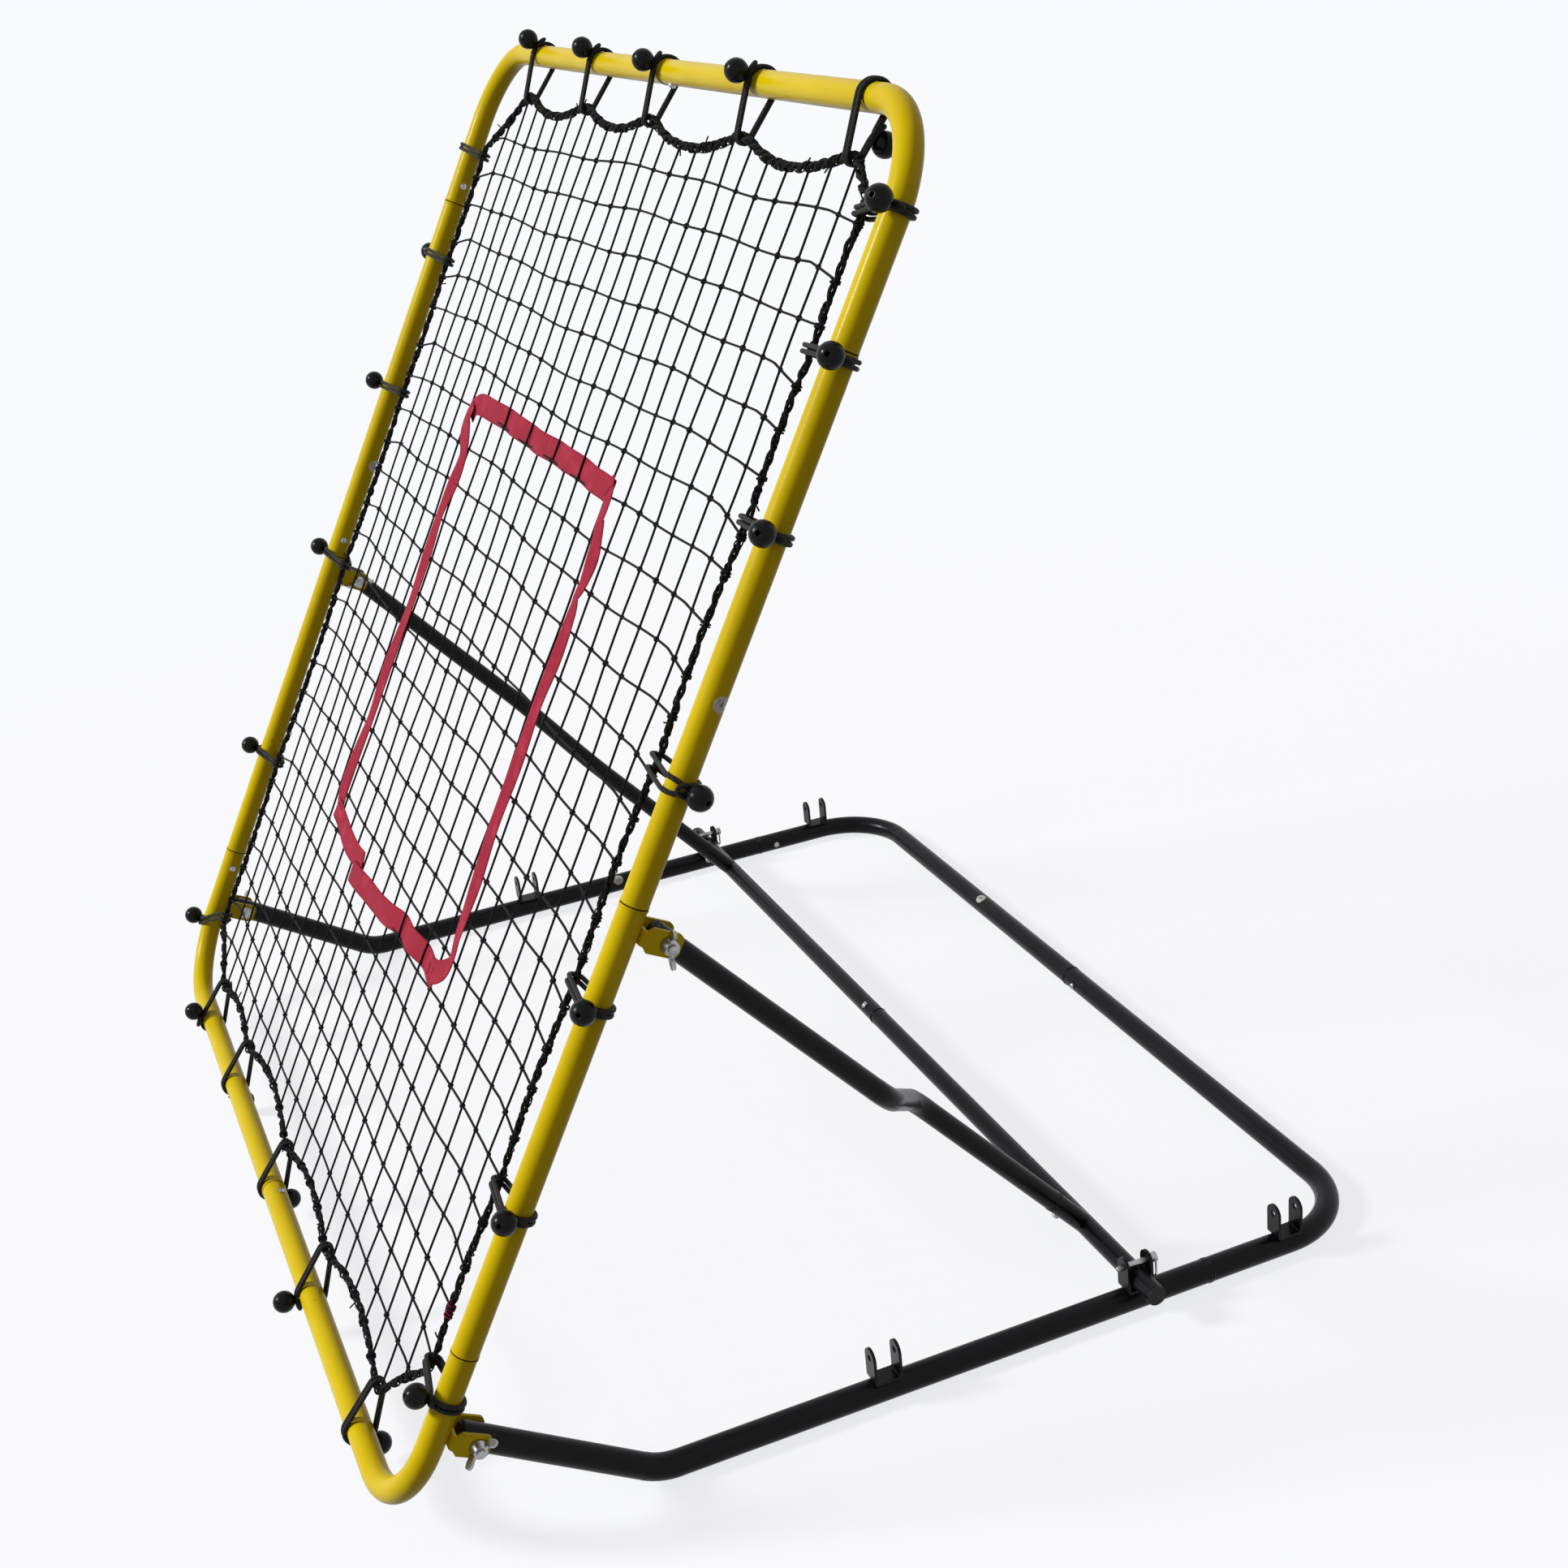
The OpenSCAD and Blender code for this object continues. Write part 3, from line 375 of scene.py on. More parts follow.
# Border rope: scallops between the bungees, in mm of the frame
ropeSettings = {"top": 1228, "bottom": 49, "side": 545, "flat": 11, "endShare": 0.085, "sideShare": 0.03,
                "spacing": 1.7, "samples": 60, "soften": 13, "fullFrom": 1140, "fullOver": 50, "fuller": 0.25,
                "pitch": 33, "offset": 2.1, "strand": 1.7, "coreWander": 0.45, "wrap": 3.2, "wrapPitch": 19,
                "backward": -1.37, "thin": 0.75, "wrapWander": 0.25, "flatness": 0.8, "drift": (0.9, 290),
                "loose": (97, 61)}
# Place on the tube, place on the rope, ball angle round the tube (0 away from the net, 90 front), slide, half gap
bungees = {
    "top": [(-430, -430, 68, 0, 2.6), (-215, -215, 75, 0, 2.6), (-5, -5, 88, 0, 2.7), (250, 250, 88, 0, 2.6),
            (490, 490, -100, 26, 2.8)],
    "right": [(1196, 1186, 60, 0, 2.6), (1074, 1072, 42, 0, 2.6), (928, 926, 44, 0, 2.6), (712, 712, -18, 0, 6.2),
              (512, 511, 42, 0, 2.7), (317, 315, 42, 0, 2.6), (134, 137, 86, 4, 2.6)],
    "bottom": [(-445, -445, 104, 0, 2.6), (-265, -265, -42, 0, 2.6), (-10, -10, -64, 0, 2.6),
               (213, 210, 62, 0, 2.6), (447, 450, -62, 0, 2.6)],
    "left": [(1150, 1146, -14, 0, 2.6), (1013, 1011, 6, 0, 2.6), (835, 838, 46, 0, 2.6), (606, 605, 42, 0, 2.6),
             (323, 328, 56, 0, 2.6), (72, 106, 52, 0, 3.6)]}


# Rope line: between two bungees a parabola, start + span * t + 4t(1 - t) * share * the span turned inwards,
# then spaced evenly and rounded with a running mean
def ropeCourse(s):
    anchors = [((b[1], s["top"]), (1, 0), True) for b in bungees["top"]]
    anchors += [((s["side"], b[1]), (0, -1), False) for b in bungees["right"]]
    anchors += [((b[1], s["bottom"]), (-1, 0), True) for b in bungees["bottom"][::-1]]
    anchors += [((-s["side"], b[1]), (0, 1), False) for b in bungees["left"][::-1]]
    t = np.linspace(0, 1, s["samples"])[:, None]
    runs = []
    for (here, way, onBar), (there, nextWay, nextOnBar) in zip(anchors, anchors[1:] + anchors[:1]):
        share = s["endShare"] if onBar and nextOnBar else s["sideShare"]
        start = np.array(here) + s["flat"] * np.array(way)
        span = np.array(there) - s["flat"] * np.array(nextWay) - start
        runs.append(start + span * t + 4 * t * (1 - t) * share * np.array([span[1], -span[0]]))
    path = np.concatenate(runs)
    path = np.vstack([path, path[:1]])
    length = np.concatenate([[0], np.cumsum(np.linalg.norm(np.diff(path, axis=0), axis=1))])
    count = int(length[-1] / s["spacing"])
    even = np.linspace(0, length[-1], count, endpoint=False)
    path = np.stack([np.interp(even, length, path[:, k]) for k in (0, 1)], 1)
    kernel = np.hanning(s["soften"])[1:-1] / np.hanning(s["soften"]).sum()
    margin = len(kernel) // 2
    padded = np.vstack([path[-margin:], path, path[:margin]])
    smooth = np.stack([np.convolve(padded[:, k], kernel, "valid") for k in (0, 1)], 1)
    return smooth, even, length[-1]


ropeLine, ropeAt, ropeLength = ropeCourse(ropeSettings)
ropeTangent = unit(np.roll(ropeLine, -1, 0) - np.roll(ropeLine, 1, 0))
ropeInward = np.stack([ropeTangent[:, 1], -ropeTangent[:, 0]], 1)
ropeFull = 1 + ropeSettings["fuller"] * np.clip(
    (ropeLine[:, 1] - ropeSettings["fullFrom"]) / ropeSettings["fullOver"], 0, 1)


# Strand: rope line + reach * (cos * inward + sin * front), turning as it goes; thicker along the top
def ropeStrand(s, phase, reach, pitch, wander):
    length = 2 * np.pi * ropeAt / ropeLength
    turns, swings, long, short = [round(ropeLength / each) for each in (pitch, s["drift"][1], *s["loose"])]
    angle = turns * length + phase + s["drift"][0] * np.sin(swings * length + 2 * phase)
    loose = 1 + wander * np.sin(long * length + 3 * phase) * np.sin(short * length)
    reach = reach * loose * ropeFull
    inward = (reach * np.cos(angle))[:, None] * ropeInward
    return onFrame(np.column_stack([ropeLine + inward, reach * s["flatness"] * np.sin(angle)]))


# Two core strands half a turn apart, and three thin ones round them, the last laid the other way
def makeBorder(s):
    core = np.stack([ropeStrand(s, k * math.pi, s["offset"], s["pitch"], s["coreWander"]) for k in (0, 1)])
    wrap = np.stack([ropeStrand(s, 1.1 + 2.1 * k, s["wrap"], s["wrapPitch"] * lay, s["wrapWander"])
                     for k, lay in enumerate((1, 1, s["backward"]))])
    parts = [grid(tube(core, s["strand"] * millimetre * ropeFull[None], frameSettings["front"], 7, True), True),
             grid(tube(wrap, s["thin"] * millimetre, frameSettings["front"], 5, True), True)]
    return makePiece("borderRope", parts, "net_frame", borderTwine)


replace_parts(makeBorder(ropeSettings), "border_rope")

# Net: knotted square mesh. Each wave is its height, the length it goes with, and its shift from cord to cord
netSettings = {"columns": 23, "firstColumn": -480, "columnStep": 44.7, "rows": 26, "firstRow": 100,
               "rowStep": 43.1, "slope": 0.011, "cord": 1.2, "knot": 2.6, "samples": 170,
               "columnWaves": [(1.6, 83, 1.3), (0.9, 31, 2.9)], "rowWaves": [(2.4, 105, 0.55), (1.2, 37, 2.1)],
               "columnDepth": [(0.5, 29, 1)], "rowDepth": [(0.5, 23, 1)],
               "droop": 7, "droopFrom": 485, "droopOver": 60, "nearTop": 1100, "nearBottom": 150, "nearSide": 470,
               "knotProfile": [(0.02, -1.15), (0.8, -0.7), (1.0, 0.1), (0.7, 0.8), (0.02, 1.2)]}


# Where the border lies: height over u for the ends, u over height for the sides
def borderEdges(s):
    u, v = ropeLine.T
    edges = {}
    for name, chosen, key, value in (("top", v > s["nearTop"], u, v), ("bottom", v < s["nearBottom"], u, v),
                                     ("right", u > s["nearSide"], v, u), ("left", u < -s["nearSide"], v, u)):
        order = np.argsort(key[chosen])
        edges[name] = (key[chosen][order], value[chosen][order])
    return edges


edges = borderEdges(netSettings)


# Sum of waves: height * sin(place / length + shift * number)
def waves(place, number, parts):
    return sum(height * np.sin(place / length + shift * number) for height, length, shift in parts)


# Column i: even steps across, with its waves going up
def columnU(i, v, s):
    return s["firstColumn"] + s["columnStep"] * i + waves(v, i, s["columnWaves"])


# Row j: even steps up on a slope, with its waves going across, and hanging down where it nears the sides
def rowV(j, u, s):
    hang = np.clip((np.abs(u) - s["droopFrom"]) / s["droopOver"], 0, 1) * (1 + 0.6 * np.sin(2.4 * j))
    return s["firstRow"] + s["rowStep"] * j + s["slope"] * u + waves(u, j, s["rowWaves"]) - s["droop"] * hang


# Cords: (columnU, v, depth wave) from bottom edge to top, and (u, rowV, depth wave) from left edge to right.
# Knots: a small turned bead, centre + size * (bead - centre), where each column meets each row
def makeNet(s):
    i, j = np.arange(s["columns"])[:, None], np.arange(s["rows"])[:, None]
    t = np.linspace(0, 1, s["samples"])[None]
    home = (s["firstColumn"] + s["columnStep"] * i)[:, 0]
    low, high = np.interp(home, *edges["bottom"])[:, None], np.interp(home, *edges["top"])[:, None]
    v = low + (high - low) * t
    columns = onFrame(np.stack([columnU(i, v, s), v, waves(v, i, s["columnDepth"])], -1))
    level = (s["firstRow"] + s["rowStep"] * j)[:, 0]
    left, right = np.interp(level, *edges["left"])[:, None], np.interp(level, *edges["right"])[:, None]
    u = left + (right - left) * t
    rows = onFrame(np.stack([u, rowV(j, u, s), waves(u, j, s["rowDepth"])], -1))
    cords = grid(tube(np.concatenate([columns, rows]), s["cord"] * millimetre, frameSettings["front"], 6))
    i, j = [a.ravel() for a in np.meshgrid(i[:, 0], j[:, 0], indexing="ij")]
    u = columnU(i, level[j], s)
    v = rowV(j, u, s)
    u = columnU(i, v, s)
    knotSize = s["knot"] * (1 + 0.18 * np.sin(5.1 * i + 3.7 * j))
    slant = np.stack([np.full(len(u), 0.75), np.ones(len(u)), 0.4 * np.sin(i)], -1) @ frameAxes
    knots = turned(np.array(s["knotProfile"]) * millimetre, onFrame(np.stack([u, v, 0 * u], -1)), slant, 6)
    centre = knots.mean((1, 2), keepdims=True)
    knots = centre + (knots - centre) * knotSize[:, None, None, None]
    return makePiece("netCords", [cords, grid(knots)], "net_frame", netTwine), home, level


netPiece, columnHome, rowLevel = makeNet(netSettings)
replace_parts(netPiece, "net")

# Hitches: the net's cords tied round the border
hitchSettings = {"reach": 4.0, "cord": 0.9, "turns": 2, "step": 2.2, "lean": 0.25, "samples": 14}


# Each turn is a ring across the rope: centre + reach * (cos * across + sin * front), leaning a little along it
def makeHitches(s):
    points = [(u, np.interp(u, *edges[e])) for e in ("top", "bottom") for u in columnHome]
    for e in ("left", "right"):
        heights = [rowV(j, np.interp(v, *edges[e]), netSettings) for j, v in enumerate(rowLevel)]
        points += [(np.interp(v, *edges[e]), v) for v in heights]
    points = np.array(points, float)
    nearest = np.argmin(np.linalg.norm(ropeLine[None] - points[:, None], axis=2), 1)
    way = ropeTangent[nearest]
    rings = []
    turn = np.linspace(0, 2 * np.pi, s["samples"], endpoint=False)
    for k in range(s["turns"]):
        centre = ropeLine[nearest] + way * s["step"] * (k - 0.5)
        lean = s["lean"] * np.sin(1.7 * np.arange(len(points)) + 2 * k)
        across = np.column_stack([np.stack([way[:, 1], -way[:, 0]], 1) + lean[:, None] * way, np.zeros(len(way))])
        path = np.column_stack([centre, np.zeros(len(way))])[:, None] + s["reach"] * (
            np.cos(turn)[:, None] * unit(across)[:, None] + np.sin(turn)[:, None] * np.array([0, 0, 1.0]))
        guide = np.column_stack([way, np.zeros(len(way))]) @ frameAxes
        rings.append(tube(onFrame(path), s["cord"] * millimetre, guide[:, None], 5, True))
    return makePiece("netHitches", [grid(np.concatenate(rings), True)], "net_frame", netTwine)


makeHitches(hitchSettings)

# Loose twine tails along the border
tailSettings = {"count": 34, "long": 11, "cord": 0.8, "start": 3.4, "slant": 0.7, "curl": 0.35, "rise": 2.5,
                "samples": 6}


# Tail: start + length * t * (sideways + slant along the rope), plus a curl that grows with t^2 and a rise with t
def makeTails(s):
    k = np.arange(s["count"])
    at = (k * len(ropeLine) / s["count"] + 37 * np.sin(2.3 * k)).astype(int) % len(ropeLine)
    side = np.sign(np.sin(4.7 * k + 0.4))[:, None]
    t = np.linspace(0, 1, s["samples"])[None, :, None]
    length = (s["long"] * (0.55 + 0.45 * np.sin(3.1 * k) ** 2))[:, None, None]
    base = ropeLine[at][:, None] + s["start"] * side[:, None] * ropeInward[at][:, None]
    slant = s["slant"] * np.sin(5.3 * k)[:, None] * ropeTangent[at]
    flat = base + length * t * (side * ropeInward[at] + slant)[:, None]
    flat = flat + length * s["curl"] * t ** 2 * ropeTangent[at][:, None] * np.cos(3.7 * k)[:, None, None]
    rise = s["rise"] * np.sin(2.9 * k)[:, None, None] * t
    path = onFrame(np.concatenate([flat, rise * np.ones_like(flat[..., :1])], -1))
    return makePiece("borderTails", [grid(tube(path, s["cord"] * millimetre, frameSettings["front"], 5))],
                     "net_frame", netTwine)


makeTails(tailSettings)

# Red thread whipped round the border on the right
markerSettings = {"place": (535, 185), "half": 7, "radius": 3.7, "turns": 4, "thread": 0.8}


# Helix round the rope line: radius * (cos * inward + sin * front) over the marked length
def makeMarker(s):
    middle = np.argmin(np.linalg.norm(ropeLine - np.array(s["place"]), axis=1))
    t = np.linspace(-1, 1, 20 * s["turns"])
    at = middle + t * s["half"] / ropeSettings["spacing"]
    line, inward = [np.stack([np.interp(at, np.arange(len(a)), a[:, k]) for k in (0, 1)], 1)
                    for a in (ropeLine, ropeInward)]
    turn = np.pi * s["turns"] * t
    line = line + s["radius"] * np.cos(turn)[:, None] * inward
    path = onFrame(np.column_stack([line, s["radius"] * np.sin(turn)]))
    return makePiece("ropeMarker", [grid(tube(path[None], s["thread"] * millimetre, frameSettings["along"], 6))],
                     "net_frame", webbing)


makeMarker(markerSettings)

# Ball bungees. Belt and loop are the bend radii of the cord round the tube and the rope. The cord starts inHole
# above the belt, comes out of the ball's hole over a quarter turn, and ends in a bight hooked round the ball
bungeeSettings = {"belt": 14.85, "loop": 6.6, "cord": 2.15, "endSpan": 49, "sideSpan": 55, "ball": 11.3,
                  "ballOut": 27.9, "hole": 1.9, "inHole": 16, "turn": 4.5, "bight": 5, "bightOut": 11.6,
                  "bightLift": 4.6, "openOver": 14, "holeCord": 1.4, "holeGap": 1.5, "beltGap": 2.3,
                  "arcSamples": (80, 60, 80), "samples": (6, 7, 89, 11), "ballSamples": 41, "ballSides": 32,
                  "mouth": 0.35, "neck": 0.3, "lipTurn": 0.06, "seam": 0.14, "seamTurn": 0.035}
edgePlaces = {"top": ((0, 1), (1, 0), (0, frameSettings["height"]), "endSpan"),
              "bottom": ((0, -1), (1, 0), (0, 0), "endSpan"),
              "right": ((1, 0), (0, 1), (frameSettings["halfWidth"], 0), "sideSpan"),
              "left": ((-1, 0), (0, 1), (-frameSettings["halfWidth"], 0), "sideSpan")}


# Belt round the tube at the origin and the rope at -span: arcs of centre + radius * (cos, sin), joined straight;
# returns length, points and outward angles along it, and the angle where it leaves the tube
def beltCourse(span, s):
    start = math.pi / 2 + math.asin((s["belt"] - s["loop"]) / span)
    ends = [0, start, 2 * math.pi - start, 2 * math.pi]
    normal = np.concatenate([np.linspace(*each) for each in zip(ends, ends[1:], s["arcSamples"])])
    radius = np.repeat([s["belt"], s["loop"], s["belt"]], s["arcSamples"])
    centre = np.repeat([0, -span, 0], s["arcSamples"])
    point = np.stack([centre + radius * np.cos(normal), radius * np.sin(normal)], 1)
    length = np.concatenate([[0], np.cumsum(np.linalg.norm(np.diff(point, axis=0), axis=1))])
    return length, point, normal, start


# Half a bungee runs from inside the ball, down and round the belt, to the middle of its bight; the other half is
# the same on the other side. Its place is the belt's point + lift * outward, and side is half the gap between them
def makeBungees(s):
    drops, bends, runs, bights = s["samples"]
    drop = np.linspace(s["inHole"], s["turn"], drops)
    bend = np.linspace(0, math.pi / 2, bends + 1)[1:]
    run = np.linspace(0, 1, runs + 1)[1:]
    bight = np.linspace(0, math.pi / 2, bights + 1)[1:]
    lift = np.concatenate([drop, s["turn"] * (1 - np.sin(bend)), np.zeros(runs),
                           s["bightLift"] * np.sin(bight) ** 2])
    thick = np.concatenate([np.full(drops, s["holeCord"]),
                            s["holeCord"] + (s["cord"] - s["holeCord"]) * np.sin(bend),
                            np.full(runs + bights, s["cord"])])
    thick = np.concatenate([thick, thick[-2::-1]])
    onBelt = np.concatenate([np.zeros(drops), bend, np.full(runs + bights, math.pi / 2)])
    centres, axes = [], []
    for name, (outward, tubeWay, origin, spanKey) in edgePlaces.items():
        length, point, normal, start = beltCourse(s[spanKey], s)
        outward, tubeWay = np.array(outward, float), np.array(tubeWay, float)
        data = np.array(bungees[name], float)
        angle, slide, gap = np.radians(data[:, 2]), data[:, 3], data[:, 4:]
        way = np.where(angle < 0, -1.0, 1.0)
        ballAt = (np.minimum(np.abs(angle), start) * s["belt"] + slide) * way
        runLength = length[-1] - s["turn"] - s["bight"]
        along = np.concatenate([np.zeros(drops), s["turn"] * (1 - np.cos(bend)), s["turn"] + runLength * run,
                                s["turn"] + runLength + (s["bight"] + s["bightOut"]) * np.sin(bight)])
        opened = np.clip(runLength * run / s["openOver"], 0, 1) ** 0.7
        inHole = np.concatenate([np.full(drops, s["holeGap"]),
                                 s["holeGap"] + (s["beltGap"] - s["holeGap"]) * np.sin(bend)])
        spread = np.concatenate([np.tile(inHole, (len(data), 1)), s["beltGap"] + (gap - s["beltGap"]) * opened,
                                 gap * np.cos(bight) ** 0.8], 1)
        spread[:, -1] = 0
        # Place of each sample on the belt, and the belt's point and outward way there
        where = (ballAt[:, None] - way[:, None] * along[None]) % length[-1]
        theta = np.interp(where, length, normal)
        out = np.stack([np.cos(theta), np.sin(theta)], -1)
        half = np.stack([np.interp(where, length, point[:, k]) for k in (0, 1)], -1) + lift[None, :, None] * out
        tangent = np.stack([-np.sin(theta), np.cos(theta)], -1) * -way[:, None, None]
        guide = np.cos(onBelt)[None, :, None] * tangent + np.sin(onBelt)[None, :, None] * out
        # Both halves, leaning along the tube where the rope's place is not the tube's
        both = np.concatenate([half, half[:, -2::-1]], 1)
        guide = np.concatenate([guide, guide[:, -2::-1]], 1)
        lean = (data[:, 1:2] - data[:, :1]) * np.clip(-both[..., 0] / s[spanKey], 0, 1)
        side = np.concatenate([spread, -spread[:, -2::-1]], 1) + lean
        base = np.array(origin, float) + data[:, :1] * tubeWay
        flat = base[:, None] + both[..., :1] * outward + side[..., None] * tubeWay
        path = onFrame(np.concatenate([flat, both[..., 1:]], -1))
        guide = np.concatenate([guide[..., :1] * outward, guide[..., 1:]], -1) @ frameAxes
        cords = grid(tube(path, thick * millimetre, guide, 10))
        piece = makePiece("bungeeCords" + name.capitalize(), [cords], "net_frame", bungeeBraid)
        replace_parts(piece, "bungee_cords_" + name)
        spoke = np.stack([np.cos(angle), np.sin(angle)], -1)
        centre = s["ballOut"] * spoke + (slide * way)[:, None] * np.stack([-np.sin(angle), np.cos(angle)], -1)
        centres.append(onFrame(np.concatenate([base + centre[:, :1] * outward, centre[:, 1:]], -1)))
        axes.append(np.concatenate([spoke[:, :1] * outward, spoke[:, 1:]], -1) @ frameAxes)
    balls = turned(ballProfile(s) * millimetre, np.concatenate(centres), np.concatenate(axes), s["ballSides"])
    return makePiece("bungeeBalls", [grid(balls, True)], "net_frame", rubber)


# Ball: radius * (sin, cos) from lip to lip with a fine seam at its middle, then back through the bore, which is
# wider at its mouths and narrower in its neck
def ballProfile(s):
    lip = math.asin(s["hole"] / s["ball"])
    arc = np.linspace(lip + s["lipTurn"], math.pi - lip - s["lipTurn"], s["ballSamples"])
    radius = s["ball"] + s["seam"] * np.exp(-((arc - math.pi / 2) / s["seamTurn"]) ** 2)
    outer = np.stack([radius * np.sin(arc), radius * np.cos(arc)], 1)
    rim, mouth, neck = s["ball"] * math.cos(lip), s["mouth"], s["neck"]
    inner = [(mouth, mouth - rim), (0, 1 - rim), (-neck, 0.5 - rim / 2), (-neck, rim / 2 - 0.5), (0, rim - 1),
             (mouth, rim - mouth)]
    return np.vstack([outer, np.array(inner) + [s["hole"], 0]])


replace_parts(makeBungees(bungeeSettings), "bungee_balls")

# Strike zone: webbing woven through the mesh. Each run: (u, v, depth in front of the net, twist in degrees)
zoneRuns = {
    "top": [(-243, 866, 1.6, 8), (-236, 876, 2.0, 6), (-218, 883, 2.0, 0), (-167, 884.5, 1.8, 2),
            (-122, 885, -1.8, 0), (-78, 885, 1.8, -2), (-33, 884, -1.8, 2), (12, 884, 1.8, 0), (56, 885, -1.8, -2),
            (101, 885.5, 1.8, 0), (146, 885, -1.8, 2), (190, 884, 1.8, 0), (228, 884, 2.4, 0), (250, 883, 2.4, 0)],
    "right": [(236, 892, 4.2, 0), (247, 880, 4.2, 4), (250, 868, 3.8, 10), (247, 856, 3.0, 6),
              (254, 838, 2.6, 1), (260, 818, 2.4, -5), (259, 796, 2.4, 4), (254, 780, 2.6, 11),
              (258, 762, 2.6, 3), (259, 720, 2.6, -4), (255, 670, 2.8, 1), (257, 610, 2.6, -4),
              (256, 545, 2.8, -1), (262, 490, 2.6, -3), (264, 458, 2.6, 3), (266, 430, 3.0, 8),
              (272, 412, 3.4, 10), (271, 399, 3.8, 10), (260, 389, 4.2, 8), (244, 381, 4.4, 3),
              (226, 378, 4.2, 0)],
    "left": [(-238, 880, 4.2, 6), (-245, 862, 3.4, 3), (-240, 848, 3.0, -2), (-222, 830, 2.6, 1),
             (-217, 810, 2.4, -4), (-220, 786, 2.6, -8), (-227, 750, 2.8, 1), (-224, 700, 2.6, -5),
             (-220, 640, 2.8, 1), (-227, 560, 2.6, -6), (-222, 500, 2.8, 1), (-229, 450, 2.6, -5),
             (-230, 410, 2.8, -7), (-222, 388, 2.8, 0), (-214, 376, 2.8, 3)],
    "bottom": [(247, 375, 3.4, 0), (225, 377, 2.4, 2), (190, 376, -1.8, 0), (146, 373, 2.2, 4),
               (101, 371, -1.8, 0), (56, 364, 2.2, 6), (12, 359, 2.2, 0), (-33, 356, 2.6, 3), (-70, 353.5, 4.4, 2),
               (-98, 352.5, 5.2, 0)],
    "tail": [(-228, 383, 4.4, 0), (-200, 379, 4.0, 2), (-150, 370, 3.4, -3), (-110, 368, 2.6, 2),
             (-76, 371, 2.6, 6)]}
bandSettings = {"half": 12.5, "thick": 0.65, "edge": 0.45, "cup": 0.5, "cups": 9, "across": 9, "steps": 14}


# Band: course + half * x * across + (thick * y + cup * (1 - x^2)) * face, where x and y go round a flat ring and
# the twist turns across and face about the course
def bandRings(points, s):
    course = curveThrough(points, s["steps"])
    path, twist = course[:, :3], np.radians(course[:, 3])[:, None]
    tangent = unit(np.gradient(path, axis=0))
    side = unit(np.cross(np.array([0, 0, 1.0]), tangent))
    normal = np.cross(tangent, side)
    across = np.cos(twist) * side + np.sin(twist) * normal
    face = -np.sin(twist) * side + np.cos(twist) * normal
    x = np.concatenate([np.linspace(-1, 1, s["across"]), np.linspace(1, -1, s["across"])])
    y = np.repeat([1.0, -1.0], s["across"]) * np.where(np.abs(x) > 0.99, s["edge"], 1)
    cup = s["cup"] * np.sin(np.linspace(0, s["cups"], len(path)))[:, None] * (1 - x ** 2)
    ring = path[:, None] + (s["half"] * x)[:, None] * across[:, None]
    ring = ring + (s["thick"] * y + cup)[..., None] * face[:, None]
    caps = [ring[k] * capShare + (1 - capShare) * path[k] for k in (slice(0, 1), slice(-1, None))]
    return onFrame(np.concatenate([caps[0], ring, caps[1]]))[None]


# One closed strip for each run of the webbing
def makeBand(s):
    parts = [grid(bandRings(points, s)) for points in zoneRuns.values()]
    return makePiece("strikeZone", parts, "net_frame", webbing)


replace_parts(makeBand(bandSettings), "strike_zone")

# Stitches: rows of thread across the laps of the webbing, each row from (u, v) to (u, v)
stitchSettings = {"rows": [((-224, 389), (-200, 387)), ((-224, 372), (-200, 370)), ((240, 877), (252, 892)),
                           ((-236, 884), (-226, 872)), ((228, 371), (228, 385)), ((240, 370), (240, 384))],
                  "step": 4, "half": 1.3, "thread": 0.32, "depth": 5.45, "arch": 0.35, "samples": 5}


# Stitch: centre + half * t along its row, in front of the net by depth + arch * (1 - t^2)
def makeStitches(s):
    paths = []
    t = np.linspace(-1, 1, s["samples"])[None, :, None]
    for start, end in s["rows"]:
        start, end = np.array(start, float), np.array(end, float)
        count = int(np.linalg.norm(end - start) / s["step"]) + 1
        k = (np.arange(count) + 0.5) / count
        centre = start + (end - start) * k[:, None]
        flat = centre[:, None] + unit(end - start) * s["half"] * t
        height = s["depth"] + s["arch"] * (1 - t ** 2) * np.ones_like(flat[..., :1])
        paths.append(np.concatenate([flat, height], -1))
    thread = grid(tube(onFrame(np.concatenate(paths)), s["thread"] * millimetre, frameSettings["front"], 6))
    return makePiece("webbingStitches", [thread], "net_frame", webbing)


makeStitches(stitchSettings)


def boxCentre(name):
    low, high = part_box(name)
    return (np.array(low) + np.array(high)) / 2 / millimetre


# Tube seams: the rolled lip and the low ring of painted shade in the groove beside it, as (height over the tube,
# place along it); then
# where the seams lie: heights on the net frame, places back on the ground, distances down the stay
seamSettings = {"lip": [(-0.5, -3.4), (0.02, -3.2), (0.42, -2.4), (0.62, -1.6), (0.5, -0.8), (-0.5, -0.6),
                        (-0.5, 0.6), (0.32, 0.8), (0.45, 1.4), (0.02, 2.3), (-0.5, 2.5)],
                "shadeRing": [(-0.5, -0.75), (0.08, -0.7), (0.08, 0.7), (-0.5, 0.75)], "sides": 40,
                "heights": (181, 605, 1081), "groundSide": 332.175, "groundRear": 522.175, "arm": 614, "bar": 666}


# Rings about tubes: the profile, moved out by the tube's radius, turned about the tube's axis
def seamRings(shape, centres, axis, radius):
    profile = (np.array(seamSettings[shape]) + [radius, 0]) * millimetre
    return grid(turned(profile, np.asarray(centres, float) * millimetre, axis, seamSettings["sides"]), True)


